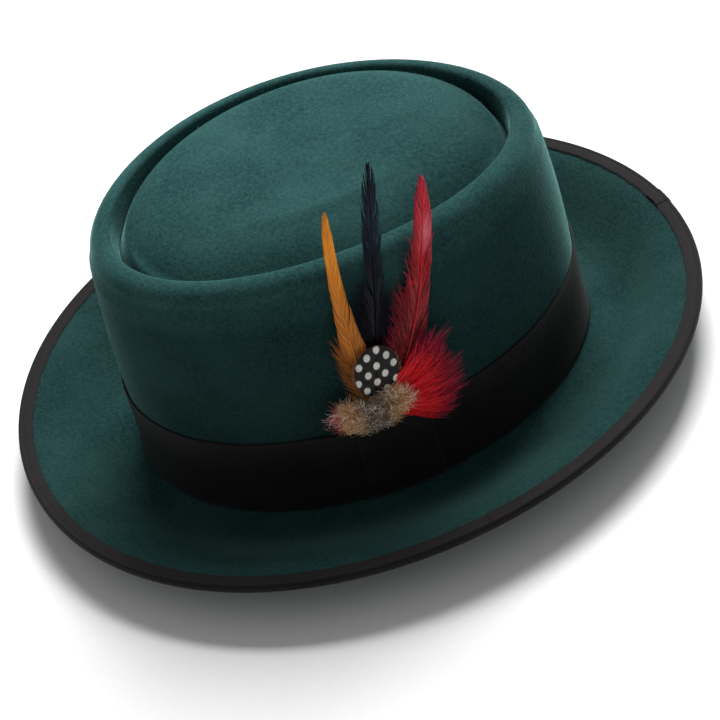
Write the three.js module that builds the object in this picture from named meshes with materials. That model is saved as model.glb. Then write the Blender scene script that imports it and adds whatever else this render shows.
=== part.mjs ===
// A porkpie hat of blocked felt with a ribbon band and a spray of feathers.
// Millimetres. +Z is up, -Y the hat's front, +Y its back and +X the wearer's left.
// The origin is under the middle of the brim, on the surface that the hat rests on.
// Heights of the crown and the brim are counted from the brim's upper side at the crown's foot.

import * as THREE from 'three';

// Felt and gaps
const feltThickness = 2.5;
const clearance = 0.3;

// Crown, measured outside
const crownLength = 202;
const crownWidth = 168;
const crownHeight = 106.3;
const crownFootFlare = 3.4;
const crownFlareHeight = 11.2;
const crownSideTaper = 5.5;
const crownEndTaper = 4.2;
const crownBulge = 3.1;
const crownLean = 1.7;
const crownSetBack = 1.7;
const footRounding = 0.8;

// Rolled rim of the crown
const rimSideRise = 2.6;
const rimFrontRise = 3.2;
const rimRollRadius = 8;
const rimLipRadius = 2.4;

// Groove behind the rim and the raised tip inside it
const grooveInset = 11.6;
const grooveDepth = 11;
const tipFarRise = 2.5;
const tipNearDrop = 4;
const tipCrown = 0.5;
const tipFarShoulder = 2.6;
const tipNearShoulder = 9;
const tipLedgeHeight = 1;
const tipLedgeInset = 3;
const tipLedgeSpread = 2;

// Brim
const brimSideWidth = 59.5;
const brimEndWidth = 51.2;
const brimBackFullness = 0.9;
const brimCornerFullness = 0.45;
const brimEdgeRise = 18.4;
const brimSideRise = 1;
const brimBackRise = 1.1;
const brimEdgeSlope = 9;
const brimFlatWidth = 6;

// Binding folded over the brim's edge, its ends lapped at the back
const bindingWidth = 6.9;
const bindingThickness = 0.6;
const lapAngle = 87.5;
const lapLength = 10;
const lapStep = 0.5;
const bindingCurl = 1.6;

// Ribbon band and the tab over its join
const bandHeight = 36.4;
const bandLift = 0.8;
const bandThickness = 0.8;
const tabWidth = 32.3;
const tabThickness = 0.8;
const tabCentre = 9.9;

// Tongue that holds the feathers, tucked behind the band
const trimAngle = -14;
const tongueCentre = 6;
const tongueWidth = 14;
const tongueThickness = 1.2;
const tongueBelow = 26;
const tongueAbove = 9;
const bulgeFade = 12;

// Feathers. Across is from the trim's middle towards the back, up is from the band's top.
const plumeHeight = 112.4;
const bladeThickness = 0.9;
const hackleThickness = 1.2;
const hackleReach = 30;
const hackleHead = 4.5;
const hackleAcross = 14;
const hackleUp = 10.6;
const spotLength = 23;
const spotWidth = 17;
const spotThickness = 0.8;
const spotAcross = 8.6;
const spotUp = 28.6;
const tuftWidth = 33;
const tuftHeight = 20;
const tuftThickness = 3;
const tuftAcross = 3.5;
const tuftUp = 11;

const degree = Math.PI / 180;
const stations = 60;
const angles = Array.from({ length: stations }, (_, i) => (i * 2 * Math.PI) / stations);
const lerp = THREE.MathUtils.lerp;

// Plan of the hat

// The brim is set so that the whole hat lies evenly about the origin
const brimMid = -(brimBackFullness + lapStep / 2);

// Point on an oval at angle theta, moved out along the oval's normal
function ovalPoint(semiX, semiY, midY, theta, out, z) {
  const normal = new THREE.Vector2(Math.cos(theta) / semiX, Math.sin(theta) / semiY).normalize();
  return new THREE.Vector3(
    semiX * Math.cos(theta) + normal.x * out,
    midY + semiY * Math.sin(theta) + normal.y * out,
    z,
  );
}

// Half-axes of the crown's outside at a height
function crownOval(height) {
  const share = height / crownHeight;
  const swell = crownBulge * 4 * share * (1 - share)
    + crownFootFlare * Math.exp(-height / crownFlareHeight);
  return {
    x: crownWidth / 2 - crownSideTaper * share + swell,
    y: crownLength / 2 - crownEndTaper * share + swell,
    mid: brimMid + crownSetBack + crownLean * share,
  };
}

function crownPoint(theta, height, out, riseTo = height) {
  const oval = crownOval(height);
  return ovalPoint(oval.x, oval.y, oval.mid, theta, out, feltThickness + riseTo);
}

function rimHeight(theta) {
  return crownHeight + rimSideRise * Math.cos(2 * theta) - rimFrontRise * Math.sin(theta);
}

const foot = crownOval(0);
const footX = foot.x + footRounding;
const footY = foot.y + footRounding;
const edgeX = foot.x + brimSideWidth;
const edgeY = foot.y + brimEndWidth;

function edgeHeight(theta) {
  return brimEdgeRise + brimSideRise * Math.cos(2 * theta) + brimBackRise * Math.sin(theta);
}

// Point at a distance in from the brim's edge, on the straight stretch that the binding covers
function edgePoint(theta, inset, lift) {
  const fullness = brimBackFullness * Math.sin(3 * theta) + brimCornerFullness * Math.cos(4 * theta);
  const z = edgeHeight(theta) - inset * Math.tan(brimEdgeSlope * degree) + lift;
  return ovalPoint(edgeX, edgeY, brimMid, theta, -inset - fullness, feltThickness + z);
}

// Felt body: crown and brim in one

const bulgeStart = bandHeight - tongueBelow - 2;
const bandRows = [bandLift, bulgeStart, (bulgeStart + bandHeight) / 2, bandHeight];
const wallRows = [0.35, 0.7, 1];
const rollSteps = [30, 60, 90];
const lipSteps = [45, 90];
const tipReach = crownWidth / 2 - grooveInset;
const tipShares = [0.02, 0.04, 0.064, 0.104, 0.18, 0.304];
const plateauShares = [0.5, 0.25];
const brimShares = [0.25, 0.4, 0.55, 0.7, 0.85, 1];
const brimInnerInset = bindingWidth + 2;
const feltEdgeInset = bindingThickness + clearance;

// Height of the tip at a distance beyond the groove, counted from the crown's mean height
function tipHeight(theta, beyond, reach, withLedge) {
  const nearness = (1 + Math.cos(theta)) / 2;
  const mean = (tipFarRise - tipNearDrop) / 2;
  const tilt = -(tipFarRise + tipNearDrop) / 2;
  const plateau = tipCrown
    + tilt * Math.cos(theta) * reach
    + (rimSideRise * Math.cos(2 * theta) + mean - tipCrown) * reach * reach;
  const grooveFloor = rimHeight(theta) - crownHeight - grooveDepth;
  const shoulder = lerp(tipFarShoulder, tipNearShoulder, nearness);
  const ledge = Math.exp(-(((beyond - tipLedgeInset) / tipLedgeSpread) ** 2));
  return plateau - (plateau - grooveFloor) * Math.exp(-beyond / shoulder)
    + (withLedge ? tipLedgeHeight * Math.sqrt(nearness) * ledge : 0);
}

// Section through the rim, the groove and the tip: distance in from the wall, and height
function topSection(theta, withLedge) {
  const rim = rimHeight(theta) - crownHeight;
  const roll = [0, ...rollSteps].map((step) => new THREE.Vector2(
    rimRollRadius * (1 - Math.cos(step * degree)),
    rim - rimRollRadius * (1 - Math.sin(step * degree)),
  ));
  const lip = lipSteps.map((step) => new THREE.Vector2(
    rimRollRadius + rimLipRadius * Math.sin(step * degree),
    rim - rimLipRadius * (1 - Math.cos(step * degree)),
  ));
  const side = new THREE.Vector2(
    lerp(rimRollRadius + rimLipRadius, grooveInset, 0.7),
    rim - lerp(rimLipRadius, grooveDepth, 0.55),
  );
  const groove = new THREE.Vector2(grooveInset, rim - grooveDepth);
  const tip = tipShares.map((share) => new THREE.Vector2(
    grooveInset + share * tipReach,
    tipHeight(theta, share * tipReach, 1 - share, withLedge),
  ));
  return [...roll, ...lip, side, groove, ...tip];
}

// The same section moved through the felt to its inner side
function insideSection(section) {
  return section.map((point, i) => {
    const before = section[Math.max(i - 1, 0)];
    const after = section[Math.min(i + 1, section.length - 1)];
    const along = i === 0 ? new THREE.Vector2(0, 1) : after.clone().sub(before).normalize();
    return new THREE.Vector2(point.x + along.y * feltThickness, point.y - along.x * feltThickness);
  });
}

// Rings of points from the rolled rim in to the middle of the tip
function topRings(inside) {
  const sections = angles.map((theta) => {
    const section = topSection(theta, !inside);
    return inside ? insideSection(section) : section;
  });
  const rings = sections[0].map((_, row) => angles.map((theta, i) => {
    const point = sections[i][row];
    return crownPoint(theta, crownHeight, -point.x, crownHeight + point.y);
  }));
  const last = rings[rings.length - 1];
  const drop = inside ? feltThickness : 0;
  const middle = new THREE.Vector3(0, crownOval(crownHeight).mid, 0);
  const lastReach = 1 - tipShares[tipShares.length - 1];
  plateauShares.forEach((share) => {
    rings.push(angles.map((theta, i) => {
      const point = middle.clone().lerp(last[i], share);
      const height = crownHeight + tipHeight(theta, crownWidth, lastReach * share, false);
      return point.setZ(feltThickness + height - drop);
    }));
  });
  rings.push([middle.setZ(feltThickness + crownHeight + tipCrown - drop)]);
  return rings;
}

// Rings up the wall of the crown, from its foot to where the rim starts to roll
function wallRings(out) {
  const rings = bandRows.map((height) => angles.map((theta) => crownPoint(theta, height, out)));
  wallRows.slice(0, -1).forEach((share) => {
    const height = lerp(bandHeight, crownHeight - rimRollRadius, share);
    rings.push(angles.map((theta) => {
      const top = rimHeight(theta) - rimRollRadius;
      return crownPoint(theta, height, out, lerp(bandHeight, top, share));
    }));
  });
  return rings;
}

// Height of the brim's upper side, and its slope, at a share of the way to the binding
function brimRise(theta, share, width) {
  const flat = brimFlatWidth / width;
  const t = Math.max(0, (share - flat) / (1 - flat));
  const slope = Math.tan(brimEdgeSlope * degree);
  const end = edgeHeight(theta) - brimInnerInset * slope;
  const reach = width * (1 - flat);
  return {
    height: end * (3 * t * t - 2 * t ** 3) + slope * reach * (t ** 3 - t * t),
    slope: (end * (6 * t - 6 * t * t) + slope * reach * (3 * t * t - 2 * t)) / reach,
  };
}

// Ring of the brim between the crown's foot and the binding, on either side of the felt
function brimRing(share, below) {
  return angles.map((theta) => {
    const inner = ovalPoint(footX, footY, foot.mid, theta, 0, 0);
    const outer = edgePoint(theta, brimInnerInset, 0).setZ(0);
    const width = inner.distanceTo(outer);
    const start = brimFlatWidth / width;
    const place = share === 0 ? start : lerp(start, 1, share);
    const rise = brimRise(theta, place, width);
    const depth = below ? feltThickness * Math.sqrt(1 + rise.slope ** 2) : 0;
    return inner.lerp(outer, place).setZ(feltThickness + rise.height - depth);
  });
}

function feltRings() {
  const outside = topRings(false).reverse();
  const wall = wallRings(0).reverse();
  const footRing = angles.map((theta) => crownPoint(theta, 0, footRounding));
  const upper = [0, ...brimShares].map((share) => brimRing(share, false));
  const edge = [
    [feltEdgeInset * 2, 0],
    [feltEdgeInset, -feltThickness / 2],
    [feltEdgeInset * 2, -feltThickness],
  ].map(([inset, lift]) => angles.map((theta) => edgePoint(theta, inset, lift)));
  const lower = [0, ...brimShares].map((share) => brimRing(share, true)).reverse();
  const mouth = [
    angles.map((theta) => crownPoint(theta, 0, 0, -feltThickness)),
    angles.map((theta) => crownPoint(theta, 0, -feltThickness * 0.75, -feltThickness * 0.6)),
  ];
  return [...outside, ...wall, footRing, ...upper, ...edge, ...lower, ...mouth,
    ...wallRings(-feltThickness), ...topRings(true)];
}

// Solids from rings of points

// Joins rings in order into one closed skin; a ring of one point is a tip, and with no tips
// the last ring joins the first
function skinGeometry(rings) {
  const positions = [];
  const starts = rings.map((ring) => {
    const start = positions.length / 3;
    ring.forEach((point) => positions.push(point.x, point.y, point.z));
    return start;
  });
  const index = [];
  const closed = rings[0].length > 1;
  const joins = closed ? rings.length : rings.length - 1;
  for (let r = 0; r < joins; r += 1) {
    const next = (r + 1) % rings.length;
    const count = Math.max(rings[r].length, rings[next].length);
    for (let i = 0; i < count; i += 1) {
      const j = (i + 1) % count;
      const a = starts[r] + (i % rings[r].length);
      const b = starts[r] + (j % rings[r].length);
      const c = starts[next] + (i % rings[next].length);
      const d = starts[next] + (j % rings[next].length);
      if (a !== b) index.push(a, b, d);
      if (c !== d) index.push(a, d, c);
    }
  }
  return facingOut(positions, index);
}

// Geometry with its triangles turned to face out of the solid
function facingOut(positions, index) {
  const geometry = new THREE.BufferGeometry();
  geometry.setAttribute('position', new THREE.Float32BufferAttribute(positions, 3));
  const at = (i) => new THREE.Vector3().fromArray(positions, 3 * i);
  let volume = 0;
  for (let t = 0; t < index.length; t += 3) {
    volume += at(index[t]).dot(at(index[t + 1]).cross(at(index[t + 2])));
  }
  const triangles = index.slice();
  if (volume < 0) {
    for (let t = 0; t < triangles.length; t += 3) {
      [triangles[t], triangles[t + 1]] = [triangles[t + 1], triangles[t]];
    }
  }
  geometry.setIndex(triangles);
  geometry.computeVertexNormals();
  return geometry;
}

// Closed plate from a front grid and a back grid of the same rows and columns
function plateGeometry(front, back) {
  const rings = front.map((row, r) => [...row, ...back[r].slice().reverse()]);
  const positions = rings.flat().flatMap((point) => point.toArray());
  const around = rings[0].length;
  const half = around / 2;
  const index = [];
  for (let r = 0; r < rings.length - 1; r += 1) {
    for (let i = 0; i < around; i += 1) {
      const j = (i + 1) % around;
      const low = r * around;
      const high = low + around;
      index.push(low + i, low + j, high + j, low + i, high + j, high + i);
    }
  }
  const last = (rings.length - 1) * around;
  for (let i = 0; i < half - 1; i += 1) {
    const far = around - 1 - i;
    index.push(i, far, far - 1, i, far - 1, i + 1);
    index.push(last + i, last + i + 1, last + far - 1, last + i, last + far - 1, last + far);
  }
  return facingOut(positions, index);
}

// Binding

function bindingRings() {
  const top = clearance + bindingThickness;
  const under = -feltThickness - top;
  const inner = [
    [bindingWidth, -feltThickness - clearance],
    [bindingThickness * 2, -feltThickness - clearance],
    [bindingThickness, -feltThickness * 0.7],
    [bindingThickness, -feltThickness * 0.3],
    [bindingThickness * 2, clearance],
    [bindingWidth, clearance],
  ];
  const outer = [
    [bindingWidth, top],
    [bindingCurl, top],
    [bindingCurl / 4, -feltThickness * 0.2],
    [0, -feltThickness * 0.5],
    [bindingCurl / 4, -feltThickness * 0.8],
    [bindingCurl, under],
    [bindingWidth, under],
  ];
  const lapMiddle = lapAngle * degree;
  const lapHalf = lapLength / 2 / edgeX;
  const lapEnds = [-1.1, -1, 1, 1.1].map((side) => lapMiddle + side * lapHalf);
  const clear = angles.filter((theta) => Math.abs(theta - lapMiddle) > lapHalf * 1.2);
  const around = [...clear, ...lapEnds].sort((a, b) => a - b);
  return around.map((theta) => {
    const lapped = Math.abs(theta - lapMiddle) <= lapHalf * 1.05;
    const step = lapped ? lapStep : 0;
    const raised = outer.map(([inset, lift]) => {
      const away = Math.sign(lift + feltThickness / 2) * step;
      return inset < bindingCurl ? [inset - step, lift] : [inset, lift + away];
    });
    return [...inner, ...raised].map(([inset, lift]) => edgePoint(theta, inset, lift));
  });
}

// Band, tab and tongue

// Angle at a distance round the crown from the trim's middle, positive to the back
function trimTheta(across) {
  return trimAngle * degree + across / foot.y;
}

// How far the band is pushed out by the tongue behind it
function bandBulge(theta, height) {
  const signed = theta > Math.PI ? theta - 2 * Math.PI : theta;
  const across = (signed - trimAngle * degree) * foot.y;
  const past = Math.max(0, Math.abs(across - tongueCentre) - tongueWidth / 2 - bulgeFade);
  const sideways = Math.max(0, 1 - past / bulgeFade);
  const upward = Math.min(1, Math.max(0, (height - bandLift) / (bulgeStart - bandLift)));
  return (tongueThickness + clearance) * sideways * upward;
}

function bandRings() {
  const ring = (height, out) => angles.map((theta) => (
    crownPoint(theta, height, out + bandBulge(theta, height))));
  return [
    ...bandRows.map((height) => ring(height, clearance)),
    ...bandRows.slice().reverse().map((height) => ring(height, clearance + bandThickness)),
  ];
}

function tabGrids() {
  const columns = 9;
  const under = clearance * 2 + bandThickness;
  const grid = (out) => bandRows.map((height) => (
    Array.from({ length: columns }, (_, i) => {
      const across = tabCentre + tabWidth * (i / (columns - 1) - 0.5);
      const theta = trimTheta(across);
      return crownPoint(theta, height, out + bandBulge(theta, height));
    })));
  return [grid(under + tabThickness), grid(under)];
}

function tongueGrids() {
  const columns = 5;
  const heights = [0, 0.25, 0.5, 0.75, 1].map((share) => (
    lerp(bandHeight - tongueBelow, bandHeight + tongueAbove, share)));
  const grid = (out) => heights.map((height) => (
    Array.from({ length: columns }, (_, i) => {
      const across = tongueCentre + tongueWidth * (i / (columns - 1) - 0.5);
      return crownPoint(trimTheta(across), height, out);
    })));
  return [grid(clearance + tongueThickness), grid(clearance)];
}

// Feathers, which stand against the crown's wall and run straight on past its rim

const standLean = 0.07;
const tongueFront = clearance + tongueThickness;

function trimPoint(across, height, out) {
  const rimStart = crownHeight - rimRollRadius;
  const above = Math.max(0, height - rimStart);
  return crownPoint(trimTheta(across), Math.min(height, rimStart), out - standLean * above, height);
}

// Layers from the wall outwards, each a small gap in front of the one behind. The hackle's long
// facets cut across the wall's curve, so its gap is doubled.
const blackBack = tongueFront + clearance;
const sideBack = blackBack + bladeThickness + clearance;
const hackleBack = sideBack + bladeThickness + clearance * 2;
const spottedBack = hackleBack + hackleThickness + clearance;
const tuftBack = spottedBack + spotThickness + clearance;

// Tall feathers. foot and tip (across and up), bow and width are shares of the plume's height.
// rows: share of the way up, half-widths to the front and to the back as shares of the width.
// prongs: how far past the last row each tip reaches, and its place across, as shares.
const feathers = {
  black_feather: {
    back: blackBack,
    foot: [0.048, 0.05],
    tip: [0.276, 1],
    bow: 0,
    width: 0.134,
    rows: [
      [0, 0.1, 0.1], [0.15, 0.33, 0.27], [0.3, 0.57, 0.4], [0.48, 0.53, 0.23],
      [0.6, 0.28, 0.24], [0.75, 0.26, 0.19], [0.88, 0.23, 0.17], [0.95, 0.13, 0.15],
    ],
    prongs: [[1, -0.02], [0.975, 0.11]],
  },
  red_feather: {
    back: sideBack,
    foot: [0.08, 0.054],
    tip: [0.449, 0.868],
    bow: 0.043,
    width: 0.151,
    rows: [
      [0, 0.07, 0.07], [0.1, 0.25, 0.14], [0.2, 0.5, 0.2], [0.35, 0.64, 0.38], [0.5, 0.45, 0.28],
      [0.65, 0.24, 0.24], [0.8, 0.24, 0.24], [0.9, 0.19, 0.19], [0.96, 0.12, 0.12],
    ],
    prongs: [[1, 0]],
  },
  amber_feather: {
    back: sideBack,
    foot: [0.0445, 0.059],
    tip: [0.072, 0.893],
    bow: -0.033,
    width: 0.085,
    rows: [
      [0, 0.12, 0.12], [0.2, 0.47, 0.42], [0.35, 0.5, 0.5], [0.5, 0.36, 0.38],
      [0.6, 0.3, 0.3], [0.78, 0.21, 0.21], [0.9, 0.16, 0.16], [0.97, 0.1, 0.1],
    ],
    prongs: [[1, 0]],
  },
};

function featherGeometry({ back, foot: start, tip, bow, width, rows, prongs }) {
  const spotAt = ([across, up]) => new THREE.Vector2(across * plumeHeight, bandHeight + up * plumeHeight);
  const from = spotAt(start);
  const along = spotAt(tip).sub(from);
  const side = new THREE.Vector2(along.y, -along.x).normalize();
  const place = (share, across, out) => {
    const spot = from.clone().addScaledVector(along, share);
    spot.addScaledVector(side, (bow * 4 * share * (1 - share) + across * width) * plumeHeight);
    return trimPoint(spot.x, spot.y, out);
  };
  const front = back + bladeThickness;
  const edge = back + bladeThickness * 0.7;
  const rings = rows.map(([share, left, right]) => [
    place(share, -left, edge), place(share, 0, front), place(share, right, edge),
    place(share, right, back), place(share, 0, back), place(share, -left, back),
  ]);
  const positions = rings.flat().flatMap((point) => point.toArray());
  const index = [];
  for (let r = 0; r < rows.length - 1; r += 1) {
    for (let i = 0; i < 6; i += 1) {
      const j = (i + 1) % 6;
      const low = r * 6;
      index.push(low + i, low + j, low + 6 + j, low + i, low + 6 + j, low + 6 + i);
    }
  }
  index.push(0, 5, 4, 0, 4, 1, 1, 4, 3, 1, 3, 2);
  const last = (rows.length - 1) * 6;
  const loops = prongs.length === 1 ? [[0, 1, 2, 3, 4, 5]] : [[0, 1, 4, 5], [1, 2, 3, 4]];
  loops.forEach((loop, p) => {
    const [share, across] = prongs[p];
    const tipIndex = positions.length / 3;
    positions.push(...place(share, across, back + bladeThickness / 2).toArray());
    loop.forEach((corner, i) => {
      index.push(last + corner, last + loop[(i + 1) % loop.length], tipIndex);
    });
  });
  return facingOut(positions, index);
}

// Plate of pointed locks round a middle. locks: angle in degrees from straight back, going up,
// and reach. front and back give the distance out from the wall at a share of the reach.
function lockPlate(middle, locks, front, back) {
  const place = (angle, reach, share, out) => {
    const across = middle[0] + Math.cos(angle * degree) * reach * share;
    const height = bandHeight + middle[1] + Math.sin(angle * degree) * reach * share;
    return trimPoint(across, height, out(share, height - bandHeight));
  };
  const ring = (share, out) => locks.map(([angle, reach]) => place(angle, reach, share, out));
  return skinGeometry([
    [place(0, 0, 0, front)], ring(0.5, front), ring(1, front),
    ring(1, back), ring(0.5, back), [place(0, 0, 0, back)],
  ]);
}

// Fan of hackle barbs spread to the back, with a short head at their root
const hackleFan = [-47, 50];
const hackleLocks = 11;

function hackleGeometry() {
  const locks = [];
  for (let i = 0; i < hackleLocks * 2 - 1; i += 1) {
    const share = i / (hackleLocks * 2 - 2);
    const angle = lerp(hackleFan[0], hackleFan[1], share);
    const longer = lerp(0.96, 1.18, share);
    locks.push([angle, hackleReach * longer * (i % 2 ? 0.72 : 1)]);
  }
  for (let angle = hackleFan[1] + 26; angle < hackleFan[0] + 350; angle += 26) {
    locks.push([angle, hackleHead]);
  }
  const thinning = (share) => hackleThickness * (1 - 0.6 * share);
  return lockPlate(
    [hackleAcross, hackleUp],
    locks,
    (share) => hackleBack + thinning(share),
    () => hackleBack,
  );
}

// Small rounded feather, dished
const spottedTilt = 12;

function spottedGeometry() {
  const locks = Array.from({ length: 16 }, (_, i) => {
    const angle = i * 22.5;
    const turn = (angle - 90 + spottedTilt) * degree;
    const reach = 1 / Math.hypot((2 * Math.cos(turn)) / spotLength, (2 * Math.sin(turn)) / spotWidth);
    return [angle, reach];
  });
  return lockPlate(
    [spotAcross, spotUp],
    locks,
    () => spottedBack + spotThickness,
    () => spottedBack,
  );
}

// Tuft of down in front of the other feathers' feet, drawn in to the wall at its bottom.
// reach: angle, and reach across and up as shares of half the tuft's width and height
const tuftReach = [
  [0, 1, 0.9], [30, 0.85, 0.9], [60, 0.9, 1], [90, 1, 0.95], [120, 0.9, 1.1], [150, 1, 1.2],
  [175, 0.95, 1], [202, 1.08, 1.1], [228, 0.85, 1.05], [255, 0.8, 1], [285, 0.8, 1],
  [315, 0.75, 1.05], [340, 1.03, 1],
];
const tuftValley = 0.85;
const tuftCurl = 7.6;
const tuftCurlSlope = (tuftBack - tongueFront - clearance) / tuftCurl;

function tuftGeometry() {
  const locks = [];
  tuftReach.forEach(([angle, wide, high], i) => {
    const turn = angle * degree;
    const reach = 1 / Math.hypot(
      (2 * Math.cos(turn)) / (tuftWidth * wide),
      (2 * Math.sin(turn)) / (tuftHeight * high),
    );
    const next = i + 1 < tuftReach.length ? tuftReach[i + 1][0] : 360;
    locks.push([angle, reach], [(angle + next) / 2, reach * tuftValley]);
  });
  const back = (share, height) => tuftBack - tuftCurlSlope * Math.max(0, tuftCurl - height);
  const front = (share, height) => back(share, height) + tuftThickness * (1 - 0.75 * share * share);
  return lockPlate([tuftAcross, tuftUp], locks, front, back);
}

// Pieces and their finishes

const hat = new THREE.Group();

function addPiece(name, geometry, color, roughness) {
  const material = new THREE.MeshStandardMaterial({ color, roughness, metalness: 0 });
  const piece = new THREE.Mesh(geometry, material);
  piece.name = name;
  hat.add(piece);
}

addPiece('felt_body', skinGeometry(feltRings()), 0x2a5654, 0.95);
addPiece('brim_binding', skinGeometry(bindingRings()), 0x241f1f, 0.8);
addPiece('hat_band', skinGeometry(bandRings()), 0x161616, 0.75);
addPiece('band_tab', plateGeometry(...tabGrids()), 0x181818, 0.75);
addPiece('feather_tongue', plateGeometry(...tongueGrids()), 0x141414, 0.9);
addPiece('black_feather', featherGeometry(feathers.black_feather), 0x141620, 0.6);
addPiece('red_feather', featherGeometry(feathers.red_feather), 0x9c0f16, 0.6);
addPiece('amber_feather', featherGeometry(feathers.amber_feather), 0xb86a1e, 0.6);
addPiece('red_hackle', hackleGeometry(), 0xc3101c, 0.7);
addPiece('spotted_feather', spottedGeometry(), 0x12100f, 0.7);
addPiece('down_tuft', tuftGeometry(), 0x8c7d6c, 0.9);

export default hat;
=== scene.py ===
"""A porkpie hat of teal wool felt with a ribbon band and a spray of feathers.

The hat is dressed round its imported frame. Lengths in the classes are in millimetres, and meshes
are made in metres. +Z is up, -Y the hat's front and +X the wearer's left.
"""

import logging
import math
from collections.abc import Callable
from dataclasses import dataclass, field
from enum import Enum
from functools import partial

import bpy
import numpy as np
from mathutils import Matrix, Vector


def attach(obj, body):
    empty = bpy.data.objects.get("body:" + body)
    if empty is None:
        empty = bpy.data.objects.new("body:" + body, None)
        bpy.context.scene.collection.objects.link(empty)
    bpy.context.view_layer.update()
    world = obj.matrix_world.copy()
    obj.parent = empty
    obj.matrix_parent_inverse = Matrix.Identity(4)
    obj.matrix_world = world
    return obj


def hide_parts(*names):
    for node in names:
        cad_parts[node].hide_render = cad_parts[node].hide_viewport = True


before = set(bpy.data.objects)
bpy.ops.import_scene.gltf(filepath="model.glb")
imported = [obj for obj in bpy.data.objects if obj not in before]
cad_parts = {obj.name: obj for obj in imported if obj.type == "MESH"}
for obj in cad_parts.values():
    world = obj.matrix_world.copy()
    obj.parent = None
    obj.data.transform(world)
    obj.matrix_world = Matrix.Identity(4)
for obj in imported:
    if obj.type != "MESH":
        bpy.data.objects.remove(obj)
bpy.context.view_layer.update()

MM = 0.001
TURN = 2 * math.pi
LOG = logging.getLogger("hat")

# One number, or one for each of many points.
Values = float | np.ndarray


class Face(Enum):
    """The two faces of the brim's felt."""

    UPPER = 0
    LOWER = 1


class Side(Enum):
    """The side of a feather's shaft: towards the hat's front or its back."""

    FRONT = -1
    BACK = 1


# ---- Form: the surfaces that the solids are made from


def stacked(*parts: Values) -> np.ndarray:
    """Stacks coordinates of any shapes into one array, whose last axis tells them apart."""
    return np.stack(np.broadcast_arrays(*parts), -1)


def unit(vectors: np.ndarray) -> np.ndarray:
    """Scales vectors to a length of one."""
    return vectors / np.maximum(np.linalg.norm(vectors, axis=-1, keepdims=True), 1e-9)


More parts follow.
